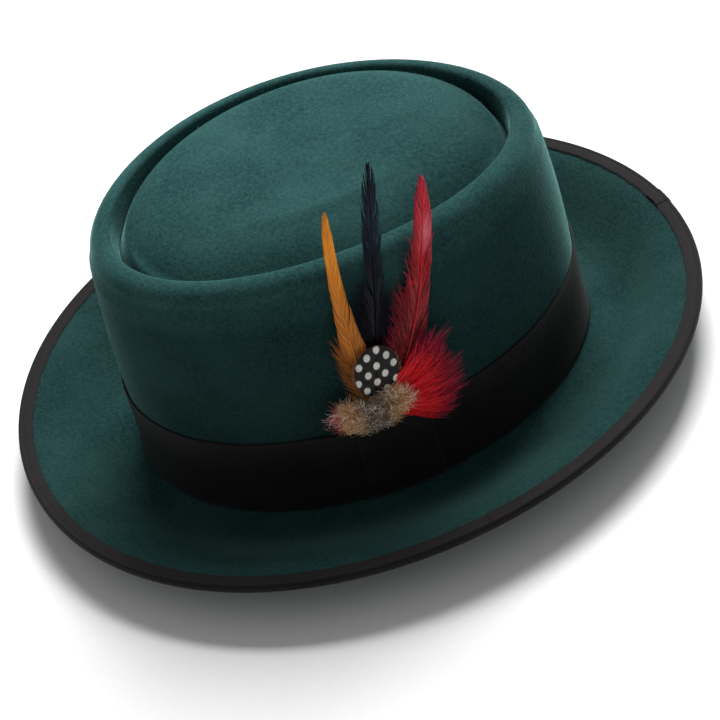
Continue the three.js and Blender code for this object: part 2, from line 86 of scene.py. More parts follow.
@dataclass(frozen=True)
class HatForm:
    """Sizes of the hat and the surfaces that they give. Its solids have the same sizes, but
    their tip dips less at the near side, and the ledge there is lower."""

    felt: float = 2.5
    gap: float = 0.3
    crown_length: float = 202.0
    crown_width: float = 168.0
    crown_height: float = 106.3
    foot_flare: float = 3.4
    flare_height: float = 11.2
    side_taper: float = 5.5
    end_taper: float = 4.2
    bulge: float = 3.1
    lean: float = 1.7
    set_back: float = 1.7
    foot_rounding: float = 0.8
    rim_side_rise: float = 2.6
    rim_front_rise: float = 3.2
    roll_radius: float = 8.0
    lip_radius: float = 2.4
    groove_inset: float = 11.6
    groove_depth: float = 11.0
    tip_far_rise: float = 2.5
    tip_near_drop: float = 4.0
    tip_crown: float = 0.5
    tip_far_shoulder: float = 2.6
    tip_near_shoulder: float = 9.0
    near_spread: float = 12.0
    near_sink: float = 8.0
    ledge_height: float = 2.6
    ledge_inset: float = 4.2
    ledge_spread: float = 2.2
    brim_side_width: float = 59.5
    brim_end_width: float = 51.2
    back_fullness: float = 0.9
    corner_fullness: float = 0.45
    edge_rise: float = 18.4
    edge_side_rise: float = 1.0
    edge_back_rise: float = 1.1
    edge_slope: float = math.radians(9.0)
    brim_flat: float = 6.0
    binding_width: float = 6.9
    binding_thickness: float = 0.6
    binding_curl: float = 1.6
    lap_angle: float = math.radians(87.5)
    lap_length: float = 10.0
    lap_step: float = 0.5
    band_height: float = 36.4
    band_lift: float = 0.8
    band_thickness: float = 0.8
    tab_width: float = 32.3
    tab_thickness: float = 0.8
    tab_centre: float = 9.9
    trim_angle: float = math.radians(-14.0)
    tongue_centre: float = 6.0
    tongue_width: float = 14.0
    tongue_thickness: float = 1.2
    tongue_below: float = 26.0
    tongue_above: float = 9.0
    bulge_fade: float = 12.0
    stand_lean: float = 0.07
    near_power: float = 2.5
    near_blunt: float = 0.8
    binding_margin: float = 2.0
    tongue_margin: float = 2.0

    @property
    def brim_mid(self) -> float:
        """Place of the brim's middle along Y."""
        return -(self.back_fullness + self.lap_step / 2)

    @property
    def foot_semi_y(self) -> float:
        """Half the crown's length at its foot."""
        return self.crown_length / 2 + self.foot_flare

    @property
    def edge_semi_x(self) -> float:
        """Half the brim's width."""
        return self.crown_width / 2 + self.foot_flare + self.brim_side_width

    @property
    def edge_semi_y(self) -> float:
        """Half the brim's length."""
        return self.foot_semi_y + self.brim_end_width

    def oval_point(
        self, semi_x: Values, semi_y: Values, mid_y: Values, theta: Values, out: Values, z: Values
    ) -> np.ndarray:
        """Points on an oval, moved out along its normal.

        Args:
            semi_x: half-axis along X.
            semi_y: half-axis along Y.
            mid_y: the oval's middle along Y.
            theta: angles round the oval.
            out: distance out along the normal.
            z: height.

        Returns:
            Points in millimetres, in an array whose last axis is x, y, z.
        """
        cos, sin = np.cos(theta), np.sin(theta)
        normal_x, normal_y = cos / semi_x, sin / semi_y
        size = np.hypot(normal_x, normal_y)
        x = semi_x * cos + normal_x / size * out
        return stacked(x, mid_y + semi_y * sin + normal_y / size * out, z)

    def crown_oval(self, height: Values) -> tuple:
        """The oval of the crown's outside at a height.

        Args:
            height: height above the brim's upper face.

        Returns:
            Its half-axes along X and Y, and its middle along Y.
        """
        share = height / self.crown_height
        swell = self.bulge * 4 * share * (1 - share)
        swell = swell + self.foot_flare * np.exp(-height / self.flare_height)
        return (
            self.crown_width / 2 - self.side_taper * share + swell,
            self.crown_length / 2 - self.end_taper * share + swell,
            self.brim_mid + self.set_back + self.lean * share,
        )

    def crown_point(
        self, theta: Values, height: Values, out: Values, rise: Values | None = None
    ) -> np.ndarray:
        """Points on the crown's wall.

        Args:
            theta: angles round the crown.
            height: height that sets the oval.
            out: distance out from the wall.
            rise: height of the points, where it differs from height.

        Returns:
            Points in millimetres.
        """
        semi_x, semi_y, mid = self.crown_oval(height)
        z = self.felt + (height if rise is None else rise)
        return self.oval_point(semi_x, semi_y, mid, theta, out, z)

    def rim_height(self, theta: Values) -> np.ndarray:
        """Height of the rolled rim."""
        waves = self.rim_side_rise * np.cos(2 * theta) - self.rim_front_rise * np.sin(theta)
        return self.crown_height + waves

    def edge_height(self, theta: Values) -> np.ndarray:
        """Height of the brim's edge."""
        waves = self.edge_side_rise * np.cos(2 * theta) + self.edge_back_rise * np.sin(theta)
        return self.edge_rise + waves

    def edge_point(self, theta: Values, inset: Values, lift: Values) -> np.ndarray:
        """Points near the brim's edge.

        Args:
            theta: angles round the hat.
            inset: distance in from the edge.
            lift: distance above the brim's upper face.

        Returns:
            Points in millimetres.
        """
        fullness = self.back_fullness * np.sin(3 * theta)
        out = -inset - (fullness + self.corner_fullness * np.cos(4 * theta))
        z = self.felt + (self.edge_height(theta) - inset * math.tan(self.edge_slope) + lift)
        return self.oval_point(self.edge_semi_x, self.edge_semi_y, self.brim_mid, theta, out, z)

    def nearest(self, theta: Values) -> np.ndarray:
        """1 at the wearer's left, where the tip dips most, and near 0 elsewhere."""
        return ((1 + np.cos(theta)) / 2) ** self.near_power

    def tip_height(
        self, theta: Values, beyond: Values, reach: Values, ledge: float = 1.0
    ) -> np.ndarray:
        """Height of the tip, counted from the crown's mean height.

        Args:
            theta: angles round the crown.
            beyond: distance in from the groove.
            reach: 1 at the groove, 0 at the tip's middle.
            ledge: share of the ledge beside the groove.

        Returns:
            Heights in millimetres.
        """
        nearness = (1 + np.cos(theta)) / 2
        mean = (self.tip_far_rise - self.tip_near_drop) / 2
        tilt = -(self.tip_far_rise + self.tip_near_drop) / 2
        plateau = self.tip_crown + tilt * np.cos(theta) * reach
        sides = self.rim_side_rise * np.cos(2 * theta) + mean - self.tip_crown
        plateau = plateau + sides * reach * reach
        floor = self.rim_height(theta) - self.crown_height - self.groove_depth
        nearest = self.nearest(theta)
        floor = floor - self.near_sink * nearest
        wider = self.tip_near_shoulder - self.tip_far_shoulder
        shoulder = self.tip_far_shoulder + wider * nearness + self.near_spread * nearest
        bump = np.exp(-(((beyond - self.ledge_inset) / self.ledge_spread) ** 2))
        rise = ledge * self.ledge_height * np.sqrt(nearness) * bump
        fall = np.exp(-((beyond / shoulder) ** (1 + self.near_blunt * nearest)))
        return plateau - (plateau - floor) * fall + rise

    def brim_ring(self, theta: np.ndarray, share: float, face: Face) -> np.ndarray:
        """A ring of the brim, between the crown's foot and the binding.

        Args:
            theta: angles round the hat.
            share: 0 where the brim starts to curl, 1 at the binding's inner side.
            face: the felt's upper or lower face.

        Returns:
            Points in millimetres.
        """
        semi_x = self.crown_width / 2 + self.foot_flare + self.foot_rounding
        semi_y = self.foot_semi_y + self.foot_rounding
        mid = self.brim_mid + self.set_back
        inner = self.oval_point(semi_x, semi_y, mid, theta, 0.0, 0.0)
        inset = self.binding_width + self.binding_margin
        outer = self.edge_point(theta, inset, 0.0)
        outer[..., 2] = 0
        width = np.linalg.norm(outer - inner, axis=-1)
        flat = self.brim_flat / width
        place = flat + (1 - flat) * share
        slope = math.tan(self.edge_slope)
        end = self.edge_height(theta) - inset * slope
        reach = width * (1 - flat)
        t = share
        height = end * (3 * t**2 - 2 * t**3) + slope * reach * (t**3 - t**2)
        grade = (end * (6 * t - 6 * t**2) + slope * reach * (3 * t**2 - 2 * t)) / reach
        points = inner + (outer - inner) * place[:, None]
        depth = self.felt * np.sqrt(1 + grade**2) if face is Face.LOWER else 0
        points[..., 2] = self.felt + height - depth
        return points

    def trim_theta(self, across: Values) -> np.ndarray:
        """Angle at a distance round the crown from the trim's middle, positive to the back."""
        return self.trim_angle + across / self.foot_semi_y

    def band_bulge(self, theta: Values, height: Values) -> np.ndarray:
        """How far the tongue behind the band pushes it out.

        Args:
            theta: angles round the crown.
            height: height on the band.

        Returns:
            Distances in millimetres.
        """
        signed = (theta + math.pi) % TURN - math.pi
        across = (signed - self.trim_angle) * self.foot_semi_y
        past = np.abs(across - self.tongue_centre) - self.tongue_width / 2 - self.bulge_fade
        sideways = np.clip(1 - np.maximum(0, past) / self.bulge_fade, 0, 1)
        start = self.band_height - self.tongue_below - self.tongue_margin
        upward = np.clip((height - self.band_lift) / (start - self.band_lift), 0, 1)
        return (self.tongue_thickness + self.gap) * sideways * upward

    def trim_point(self, across: Values, height: Values, out: Values) -> np.ndarray:
        """Points in front of the crown's wall, which run straight on past its rim.

        Args:
            across: distance from the trim's middle towards the back.
            height: height above the brim's upper face.
            out: distance out from the wall.

        Returns:
            Points in millimetres.
        """
        start = self.crown_height - self.roll_radius
        out = out - self.stand_lean * np.maximum(0, height - start)
        return self.crown_point(self.trim_theta(across), np.minimum(height, start), out, height)


# ---- Colours and nodes


def linear(code: str) -> tuple:
    """Turns an sRGB hex colour into linear RGBA.

    Args:
        code: six hex digits after a hash sign.

    Returns:
        Red, green, blue and alpha, from 0 to 1.
    """
    values = [int(code[i : i + 2], 16) / 255 for i in (1, 3, 5)]
    parts = [v / 12.92 if v <= 0.04045 else ((v + 0.055) / 1.055) ** 2.4 for v in values]
    return (*parts, 1.0)


def add_node(
    tree: bpy.types.NodeTree,
    kind: str,
    inputs: dict | tuple = (),
    out: int | str = 0,
    **settings: object,
) -> bpy.types.NodeSocket:
    """Adds a shader node.

    Args:
        tree: the node tree.
        kind: the node's type, without its ShaderNode prefix.
        inputs: a socket to link or a value to set, by input name or number, or in their order.
        out: the output that is wanted, by name or number.
        settings: values of the node's own properties.

    Returns:
        The output's socket, or the node where it has none.
    """
    node = tree.nodes.new("ShaderNode" + kind)
    for name, value in settings.items():
        setattr(node, name, value)
    for key, value in inputs.items() if isinstance(inputs, dict) else enumerate(inputs):
        if isinstance(value, bpy.types.NodeSocket):
            tree.links.new(value, node.inputs[key])
        else:
            node.inputs[key].default_value = value
    return node.outputs[out] if len(node.outputs) else node


def features(place: bpy.types.NodeSocket, size_mm: float, detail: float) -> dict:
    """Inputs of a noise whose features are about size_mm across."""
    return {"Vector": place, "Scale": 1 / (size_mm * MM), "Detail": detail, "Roughness": 0.6}


def set_ramp(node: bpy.types.Node, stops: tuple) -> None:
    """Gives a colour ramp its stops.

    Args:
        node: the ramp.
        stops: pairs of place and hex colour.
    """
    elements = node.color_ramp.elements
    while len(elements) > 1:
        elements.remove(elements[-1])
    elements[0].position, elements[0].color = stops[0][0], linear(stops[0][1])
    for place, code in stops[1:]:
        elements.new(place).color = linear(code)


# ---- Finishes


class Finish:
    """A finish: a material whose nodes are added by its own paint method."""

    name: str

    def paint(self, add: Callable) -> dict:
        """Adds the finish's nodes.

        Args:
            add: adds one node, as add_node does.

        Returns:
            The inputs of the shader.
        """
        raise NotImplementedError

    def build(self) -> bpy.types.Material:
        """Makes the material and returns it."""
        material = bpy.data.materials.new(self.name)
        material.use_nodes = True
        material.node_tree.nodes.clear()
        add = partial(add_node, material.node_tree)
        add("OutputMaterial", {"Surface": add("BsdfPrincipled", self.paint(add))})
        return material


@dataclass(frozen=True)
class WoolFelt(Finish):
    """Wool felt, blocked over a former and brushed: matt, with a short nap that lights up at
    the turns and a fine mottle where fibres lie in different ways. Its base colour is painted
    darker on the brim, and darker still up the wall, than on the tip: this is painted shade. The
    fibres are drawn coarser than the real ones, so that they show."""

    name: str = "wool_felt_blocked_and_brushed"
    deep: str = "#1a3a3a"
    body: str = "#2c4e4d"
    light: str = "#3f6865"
    sheen: str = "#72a6a1"
    mottle_mm: float = 1.6
    fibre_mm: float = 0.55
    cloud_mm: float = 38.0
    mottle_depth_mm: float = 0.8
    fibre_depth_mm: float = 0.25
    # Painted shade: the share of the base colour kept on the brim and up the wall, and the heights
    # in metres over which it changes.
    brim_painted_shade: float = 0.54
    wall_painted_shade: float = 0.42
    wall_shade_begins: tuple = (0.024, 0.04)
    wall_shade_ends: tuple = (0.09, 0.112)

    def paint(self, add: Callable) -> dict:
        """Adds the felt's nodes.

        Args:
            add: adds one node.

        Returns:
            The inputs of the shader.
        """
        place = add("TexCoord", out="Object")
        mottle = add("TexNoise", features(place, self.mottle_mm, 4))
        cloud = add("TexNoise", features(place, self.cloud_mm, 2))
        fibre = add("TexNoise", features(place, self.fibre_mm, 2))
        color = linear(self.deep)
        for share, code in (
            ((mottle, 0.35, 0.65), self.body),
            ((cloud, 0.4, 0.75, 0, 0.35), self.light),
            ((fibre, 0.5, 0.78, 0, 0.6), self.light),
        ):
            mixed = {0: add("MapRange", share), 6: color, 7: linear(code)}
            color = add("Mix", mixed, 2, data_type="RGBA")
        # Painted shade: the base colour is scaled down by height to the brim's and the wall's
        # share, and kept full on the tip.
        height = add("SeparateXYZ", (place,), "Z")
        foot = add("MapRange", (height, *self.wall_shade_begins, self.brim_painted_shade, self.wall_painted_shade))
        top = add("MapRange", (height, *self.wall_shade_ends, 1, 1 / self.wall_painted_shade))
        tone = add("Math", (foot, top), operation="MULTIPLY")
        bump = {"Strength": 0.35, "Distance": self.mottle_depth_mm * MM, "Height": mottle}
        bump = {"Normal": add("Bump", bump), "Strength": 0.35, "Height": fibre}
        return {
            "Base Color": add("VectorMath", {0: color, "Scale": tone}, operation="SCALE"),
            "Normal": add("Bump", {**bump, "Distance": self.fibre_depth_mm * MM}),
            "Roughness": 0.95,
            "IOR": 1.45,
            "Specular IOR Level": 0.03,
            "Sheen Weight": 0.95,
            "Sheen Roughness": 0.3,
            "Sheen Tint": linear(self.sheen),
        }


@dataclass(frozen=True)
class WovenRibbon(Finish):
    """Woven ribbon: cross ribs about a thread's width apart catch the light as fine lines; besides
    their bump, their crests are painted lighter, a painted highlight, and worn patches lighten the
    ribbon too. The ribs are drawn a little coarser than the real 0.6 mm, so that they show."""

    name: str
    ground: str
    # raised: colour of the painted highlight on the ribs' crests, and of the worn patches.
    raised: str
    rib_mm: float
    rib_depth_mm: float
    roughness: float
    sheen: float
    thread_mm: float = 0.7
    wear_mm: float = 22.0

    def paint(self, add: Callable) -> dict:
        """Adds the ribbon's nodes, which read UVs in millimetres.

        Args:
            add: adds one node.

        Returns:
            The inputs of the shader.
        """
        along = add("SeparateXYZ", (add("UVMap", uv_map="ribbon"),))
        phase = add("Math", (along, TURN / self.rib_mm), operation="MULTIPLY")
        rib = add("MapRange", (add("Math", (phase,), operation="SINE"), -1, 1))
        place = add("TexCoord", out="Object")
        thread = add("TexNoise", features(place, self.thread_mm, 2))
        wear = add("TexNoise", features(place, self.wear_mm, 3))
        height = add("Math", (thread, 0.5, rib), operation="MULTIPLY_ADD")
        color = linear(self.ground)
        # Painted highlight: the ribs' crests are mixed towards the raised colour; the worn patches
        # are mixed towards it as well.
        painted_rib_highlight = add("Math", (rib, thread), operation="MULTIPLY")
        for share in (painted_rib_highlight, add("MapRange", (wear, 0.45, 0.7, 0, 0.4))):
            color = add("Mix", {0: share, 6: color, 7: linear(self.raised)}, 2, data_type="RGBA")
        bump = {"Strength": 0.6, "Distance": self.rib_depth_mm * MM, "Height": height}
        return {
            "Base Color": color,
            "Normal": add("Bump", bump),
            "Roughness": self.roughness,
            "IOR": 1.5,
            "Specular IOR Level": 0.12,
            "Sheen Weight": self.sheen,
            "Sheen Roughness": 0.5,
        }


@dataclass(frozen=True)
class DyedBarbs(Finish):
    """Dyed feather barbs: keratin threads with a soft gloss along them. Each barb takes the dye
    a little differently, and its thin end shows another tone. A paler patch on the vane is a
    painted sheen."""

    name: str
    up: tuple
    ends: str
    ends_from: float = 0.6
    ends_share: float = 0.6
    # Painted sheen: a paler patch on the vane that stands in for a highlight; its colour, its place
    # across and up with half-sizes, and its strength.
    painted_sheen: str = "#ffffff"
    painted_sheen_place: tuple = (0.5, 0.1, 0.5, 0.1)
    painted_sheen_share: float = 0.0
    pale: str = "#ffffff"
    pale_share: float = 0.0
    vary: float = 0.45
    roughness: float = 0.5
    sheen: float = 0.04
    gloss: float = 0.25
    barbule_mm: float = 0.5

    def paint(self, add: Callable) -> dict:
        """Adds the barbs' nodes, which read where each barb is.

        Args:
            add: adds one node.

        Returns:
            The inputs of the shader.
        """
        chance, along, _ = add("SeparateXYZ", (add("UVMap", uv_map="barb"),)).node.outputs
        across, up, _ = add("SeparateXYZ", (add("UVMap", uv_map="vane"),)).node.outputs
        color = add("ValToRGB", (up,))
        set_ramp(color.node, self.up)
        near_end = add("MapRange", (along, self.ends_from, 1, 0, self.ends_share))
        layers = [(near_end, self.ends)]
        # Painted highlight: the sheen patch is mixed into the vane's colour.
        if self.painted_sheen_share:
            layers.append((self.painted_sheen_patch(add, across, up), self.painted_sheen))
        if self.pale_share:
            layers.append((add("MapRange", (chance, 0.8, 0.82, 0, self.pale_share)), self.pale))
        for share, code in layers:
            color = add("Mix", {0: share, 6: color, 7: linear(code)}, 2, data_type="RGBA")
        shade = add("MapRange", (chance, 0, 0.8, 1 - self.vary, 1 + self.vary * 0.6))
        relief = add("TexNoise", features(add("TexCoord", out="Object"), self.barbule_mm, 2))
        return {
            "Base Color": add("VectorMath", {0: color, "Scale": shade}, operation="SCALE"),
            "Normal": add("Bump", {"Strength": 0.4, "Distance": 0.2 * MM, "Height": relief}),
            "Roughness": self.roughness,
            "IOR": 1.54,
            "Specular IOR Level": self.gloss,
            "Sheen Weight": self.sheen,
            "Sheen Roughness": 0.4,
        }

    def painted_sheen_patch(
        self, add: Callable, across: bpy.types.NodeSocket, up: bpy.types.NodeSocket
    ) -> bpy.types.NodeSocket:
        """Share of the painted sheen: a paler patch on the vane that stands in for a highlight.

        Args:
            add: adds one node.
            across: place across the vane.
            up: place up the vane.

        Returns:
            The share.
        """
        parts = []
        for value, middle, half in zip((across, up), self.painted_sheen_place[::2], self.painted_sheen_place[1::2]):
            away = add("Math", (value, middle), operation="SUBTRACT")
            size = add("Math", (away,), operation="ABSOLUTE")
            parts.append(add("MapRange", (size, 0, half, 1, 0)))
        patch = add("Math", tuple(parts), operation="MULTIPLY")
        return add("Math", (patch, self.painted_sheen_share), operation="MULTIPLY")


@dataclass(frozen=True)
class SpottedBarbs(Finish):
    """Guineafowl feather: near black barbs with round white spots in staggered rows."""

    name: str = "guineafowl_barbs_natural"
    ground: str = "#0b0908"
    brown: str = "#1a1514"
    white: str = "#f2efea"
    fringe: str = "#a8806c"
    rows: tuple = (
        (0.93, (0.50,)),
        (0.80, (0.28, 0.72)),
        (0.63, (0.10, 0.49, 0.88)),
        (0.46, (0.30, 0.68)),
        (0.31, (0.08, 0.50, 0.93)),
        (0.15, (0.27, 0.72)),
    )
    spot_share: float = 0.083
    spot_core: float = 0.72
    cloud_mm: float = 60.0

    def paint(self, add: Callable) -> dict:
        """Adds the spotted feather's nodes, which read the place on it.

        Args:
            add: adds one node.

        Returns:
            The inputs of the shader.
        """
        vane = add("UVMap", uv_map="vane")
        chance = add("SeparateXYZ", (add("UVMap", uv_map="barb"),))
        cloud = add("TexNoise", features(vane, self.cloud_mm, 2))
        spots = 0.0
        for up, places in self.rows:
            for across in places:
                away = add("VectorMath", (vane, (across, up, 0)), "Value", operation="DISTANCE")
                spot = add("MapRange", (away, self.spot_share, self.spot_share * self.spot_core))
                spots = add("Math", (spots, spot), operation="MAXIMUM")
        tone = add("MapRange", (chance, 0, 1, 0.7, 1.0))
        away = add("VectorMath", (vane, (0.5, 0.5, 0)), "Value", operation="DISTANCE")
        color = linear(self.ground)
        for share, code in (
            (cloud, self.brown),
            (add("Math", (spots, tone), operation="MULTIPLY"), self.white),
            (add("MapRange", (away, 0.49, 0.53)), self.fringe),
        ):
            color = add("Mix", {0: share, 6: color, 7: linear(code)}, 2, data_type="RGBA")
        return {
            "Base Color": color,
            "Normal": add("Bump", {"Strength": 0.3, "Distance": 0.2 * MM, "Height": cloud}),
            "Roughness": 0.5,
            "IOR": 1.54,
            "Specular IOR Level": 0.3,
        }


@dataclass(frozen=True)
class StudioPaper(Finish):
    """Matt backdrop paper: plain, very pale, with a grain too fine to see."""

    name: str = "backdrop_paper_matt"
    grain_mm: float = 3.0

    def paint(self, add: Callable) -> dict:
        """Adds the paper's nodes.

        Args:
            add: adds one node.

        Returns:
            The inputs of the shader.
        """
        grain = add("TexNoise", features(add("TexCoord", out="Object"), self.grain_mm, 2))
        mixed = {0: grain, 6: linear("#f4f4f4"), 7: linear("#fafafa")}
        color = add("Mix", mixed, 2, data_type="RGBA")
        return {"Base Color": color, "Roughness": 0.9, "Specular IOR Level": 0.1}


# ---- Meshes


@dataclass
class Skin:
    """Points in millimetres, faces and named UVs by point, from which a piece is made."""

    points: np.ndarray
    faces: list
    uvs: dict = field(default_factory=dict)

    def piece(self, name: str, finish: Finish, slot: str, *nodes: str) -> bpy.types.Object:
        """Makes the object, which rides on the hat and stands for CAD nodes.

        Args:
            name: the piece's name.
            finish: its finish.
            slot: a material slot's name; not used.
            nodes: the CAD nodes that it replaces.

        Returns:
            The Blender object.
        """
        mesh = bpy.data.meshes.new(name)
        mesh.from_pydata((self.points * MM).tolist(), [], self.faces)
        corners = np.zeros(len(mesh.loops), int)
        mesh.loops.foreach_get("vertex_index", corners)
        for layer, values in self.uvs.items():
            uv = mesh.uv_layers.new(name=layer)
            uv.data.foreach_set("uv", values[corners].astype(np.float32).ravel())
        mesh.polygons.foreach_set("use_smooth", np.ones(len(mesh.polygons), bool))
        mesh.materials.append(finish.build())
        mesh.update()
        thing = bpy.data.objects.new(name, mesh)
        bpy.context.scene.collection.objects.link(thing)
        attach(thing, "root")
        if nodes:
            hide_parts(*nodes)
        LOG.info("%s: %d points, %d faces", name, len(self.points), len(self.faces))
        return thing


def ring_faces(count: int, rows: int, closed: bool) -> list:
    """Faces between rings.

    Args:
        count: points in a ring.
        rows: the number of rings.
        closed: whether the last ring joins the first.

    Returns:
        The faces.
    """
    low = np.arange(rows if closed else rows - 1)[:, None] * count
    high = (low + count) % (rows * count)
    here = np.arange(count)
    after = (here + 1) % count
    faces = np.stack([low + here, low + after, high + after, high + here], -1)
    return faces.reshape(-1, 4).tolist()


def solid_volume(points: np.ndarray, faces: np.ndarray) -> float:
    """Signed volume of a closed skin.

    Args:
        points: its points.
        faces: its faces, of four points each.

    Returns:
        The volume, below zero where the faces look inwards.
    """
    a, b, c, d = (points[faces[:, i]] for i in range(4))
    first = np.einsum("ij,ij->i", a, np.cross(b, c))
    return float((first + np.einsum("ij,ij->i", a, np.cross(c, d))).sum())


def ring_skin(rings: list, closed: bool, uvs: dict | None = None) -> Skin:
    """Joins rings of equal count into a closed skin.

    Args:
        rings: arrays of points; without closed, the first and last are drawn to their middles.
        closed: whether the last ring joins the first.
        uvs: UVs by point.

    Returns:
        The skin, facing out.
    """
    count = len(rings[0])
    points = np.concatenate(rings)
    faces = ring_faces(count, len(rings), closed)
    flip = solid_volume(points, np.array(faces)) < 0
    if not closed:
        first, last = len(points), len(points) + 1
        start = (len(rings) - 1) * count
        points = np.concatenate([points, [rings[0].mean(0)], [rings[-1].mean(0)]])
        for i in range(count):
            j = (i + 1) % count
            faces.append((j, i, first))
            faces.append((start + i, start + j, last))
    if flip:
        faces = [tuple(reversed(face)) for face in faces]
    return Skin(points, faces, uvs or {})


def plate_skin(front: np.ndarray, back: np.ndarray, uvs: dict | None = None) -> Skin:
    """Closes a front grid and a back grid of the same size into a plate.

    Args:
        front: points by row and column.
        back: the same for the other face.
        uvs: UVs by point of the front grid; the back takes the same.

    Returns:
        The skin, facing out.
    """
    rows, columns = front.shape[:2]
    size = rows * columns
    points = np.concatenate([front.reshape(-1, 3), back.reshape(-1, 3)])
    index = np.arange(size).reshape(rows, columns)
    a, b, d, e = index[:-1, :-1], index[:-1, 1:], index[1:, :-1], index[1:, 1:]
    pairs = np.stack([a, b, e, d, size + a, size + d, size + e, size + b], -1)
    rim = np.concatenate([index[0], index[1:, -1], index[-1, -2::-1], index[-2:0:-1, 0]])
    after = np.roll(rim, -1)
    walls = np.stack([after, rim, size + rim, size + after], -1)
    faces = pairs.reshape(-1, 4).tolist() + walls.tolist()
    if solid_volume(points, np.array(faces)) < 0:
        faces = [tuple(reversed(face)) for face in faces]
    doubled = {name: np.concatenate([v, v]) for name, v in (uvs or {}).items()}
    return Skin(points, faces, doubled)


def thread_skin(rings: np.ndarray, uvs: dict | None = None) -> Skin:
    """Closes threads of small rings into one skin.

    Args:
        rings: points by thread, step and corner.
        uvs: UVs by point.

    Returns:
        The skin, facing out.
    """
    count, steps, corners = rings.shape[:3]
    points = rings.reshape(-1, 3)
    first = (np.arange(count) * steps * corners)[:, None]
    low = first[..., None] + (np.arange(steps - 1) * corners)[:, None]
    corner = np.arange(corners)
    after = (corner + 1) % corners
    quads = np.stack(
        [low + corner, low + after, low + corners + after, low + corners + corner], -1
    ).reshape(-1, 4)
    starts, ends = first + corner[::-1], first + (steps - 1) * corners + corner
    if solid_volume(points, quads) < 0:
        quads, starts, ends = quads[:, ::-1], starts[:, ::-1], ends[:, ::-1]
    return Skin(points, quads.tolist() + starts.tolist() + ends.tolist(), uvs or {})


@dataclass
class Strands:
    """Thin closed threads, each a ridge of three sides, laid in front of the crown's wall."""

    paths: np.ndarray
    widths: np.ndarray
    chance: np.ndarray
    vane: np.ndarray
    flatness: float = 0.3

    def skin(self, form: HatForm) -> Skin:
        """Turns the threads into one skin in the hat's frame.

        Args:
            form: the hat's form, which the threads' places are measured from.

        Returns:
            The skin, with its barb and vane UVs.
        """
        count, steps = self.paths.shape[:2]
        across, height, out = (self.paths[..., i] for i in range(3))
        centre = form.trim_point(across, height, out)
        outward = unit(form.trim_point(across, height, out + 1) - centre)
        along = unit(np.gradient(centre, axis=1))
        side = unit(np.cross(along, outward))
        half = np.broadcast_to(self.widths, (count, steps))[..., None] / 2
        ridge = np.cross(side, along) * half * 2 * self.flatness
        rings = np.stack([centre + side * half, centre - side * half, centre + ridge], 2)
        barb = stacked(self.chance[:, None], np.linspace(0, 1, steps))
        uvs = (("barb", barb), ("vane", self.vane))
        return thread_skin(rings, {name: np.repeat(uv.reshape(-1, 2), 3, 0) for name, uv in uvs})


def perimeter(ring: np.ndarray) -> float:
    """Length round a closed ring of points."""
    return float(np.linalg.norm(ring - np.roll(ring, 1, axis=0), axis=1).sum())


def joined(*skins: Skin) -> Skin:
    """Joins skins into one.

    Args:
        skins: skins that have the same UVs.

    Returns:
        The joined skin.
    """
    offset, faces = 0, []
    for skin in skins:
        faces += [tuple(i + offset for i in face) for face in skin.faces]
        offset += len(skin.points)
    points = np.concatenate([skin.points for skin in skins])
    names = skins[0].uvs
    return Skin(points, faces, {n: np.concatenate([s.uvs[n] for s in skins]) for n in names})


# ---- Felt, binding and ribbons


@dataclass
class SubAssembly:
    """A part of the hat that is made from one skin. Its labels are the piece's name, its slot and
    the CAD node that it stands for, if any."""

    form: HatForm

    def skin(self) -> Skin:
        """The piece's skin."""
        raise NotImplementedError

    def build(self, finish: Finish) -> bpy.types.Object:
        """Builds the piece.

        Args:
            finish: its finish.

        Returns:
            The Blender object.
        """
        name, slot, *nodes = self.labels
        return self.skin().piece(name, finish, slot, *nodes)


def lay_ribbon(thing: bpy.types.Object, width: float, length: float) -> None:
    """Logs a ribbon's name and the size that it was cut to.

    Args:
        thing: the ribbon's object.
        width: its width in millimetres.
        length: its length in millimetres.
    """
    LOG.info("%s cut to %.4f x %.4f m", thing.name, width * MM, length * MM)


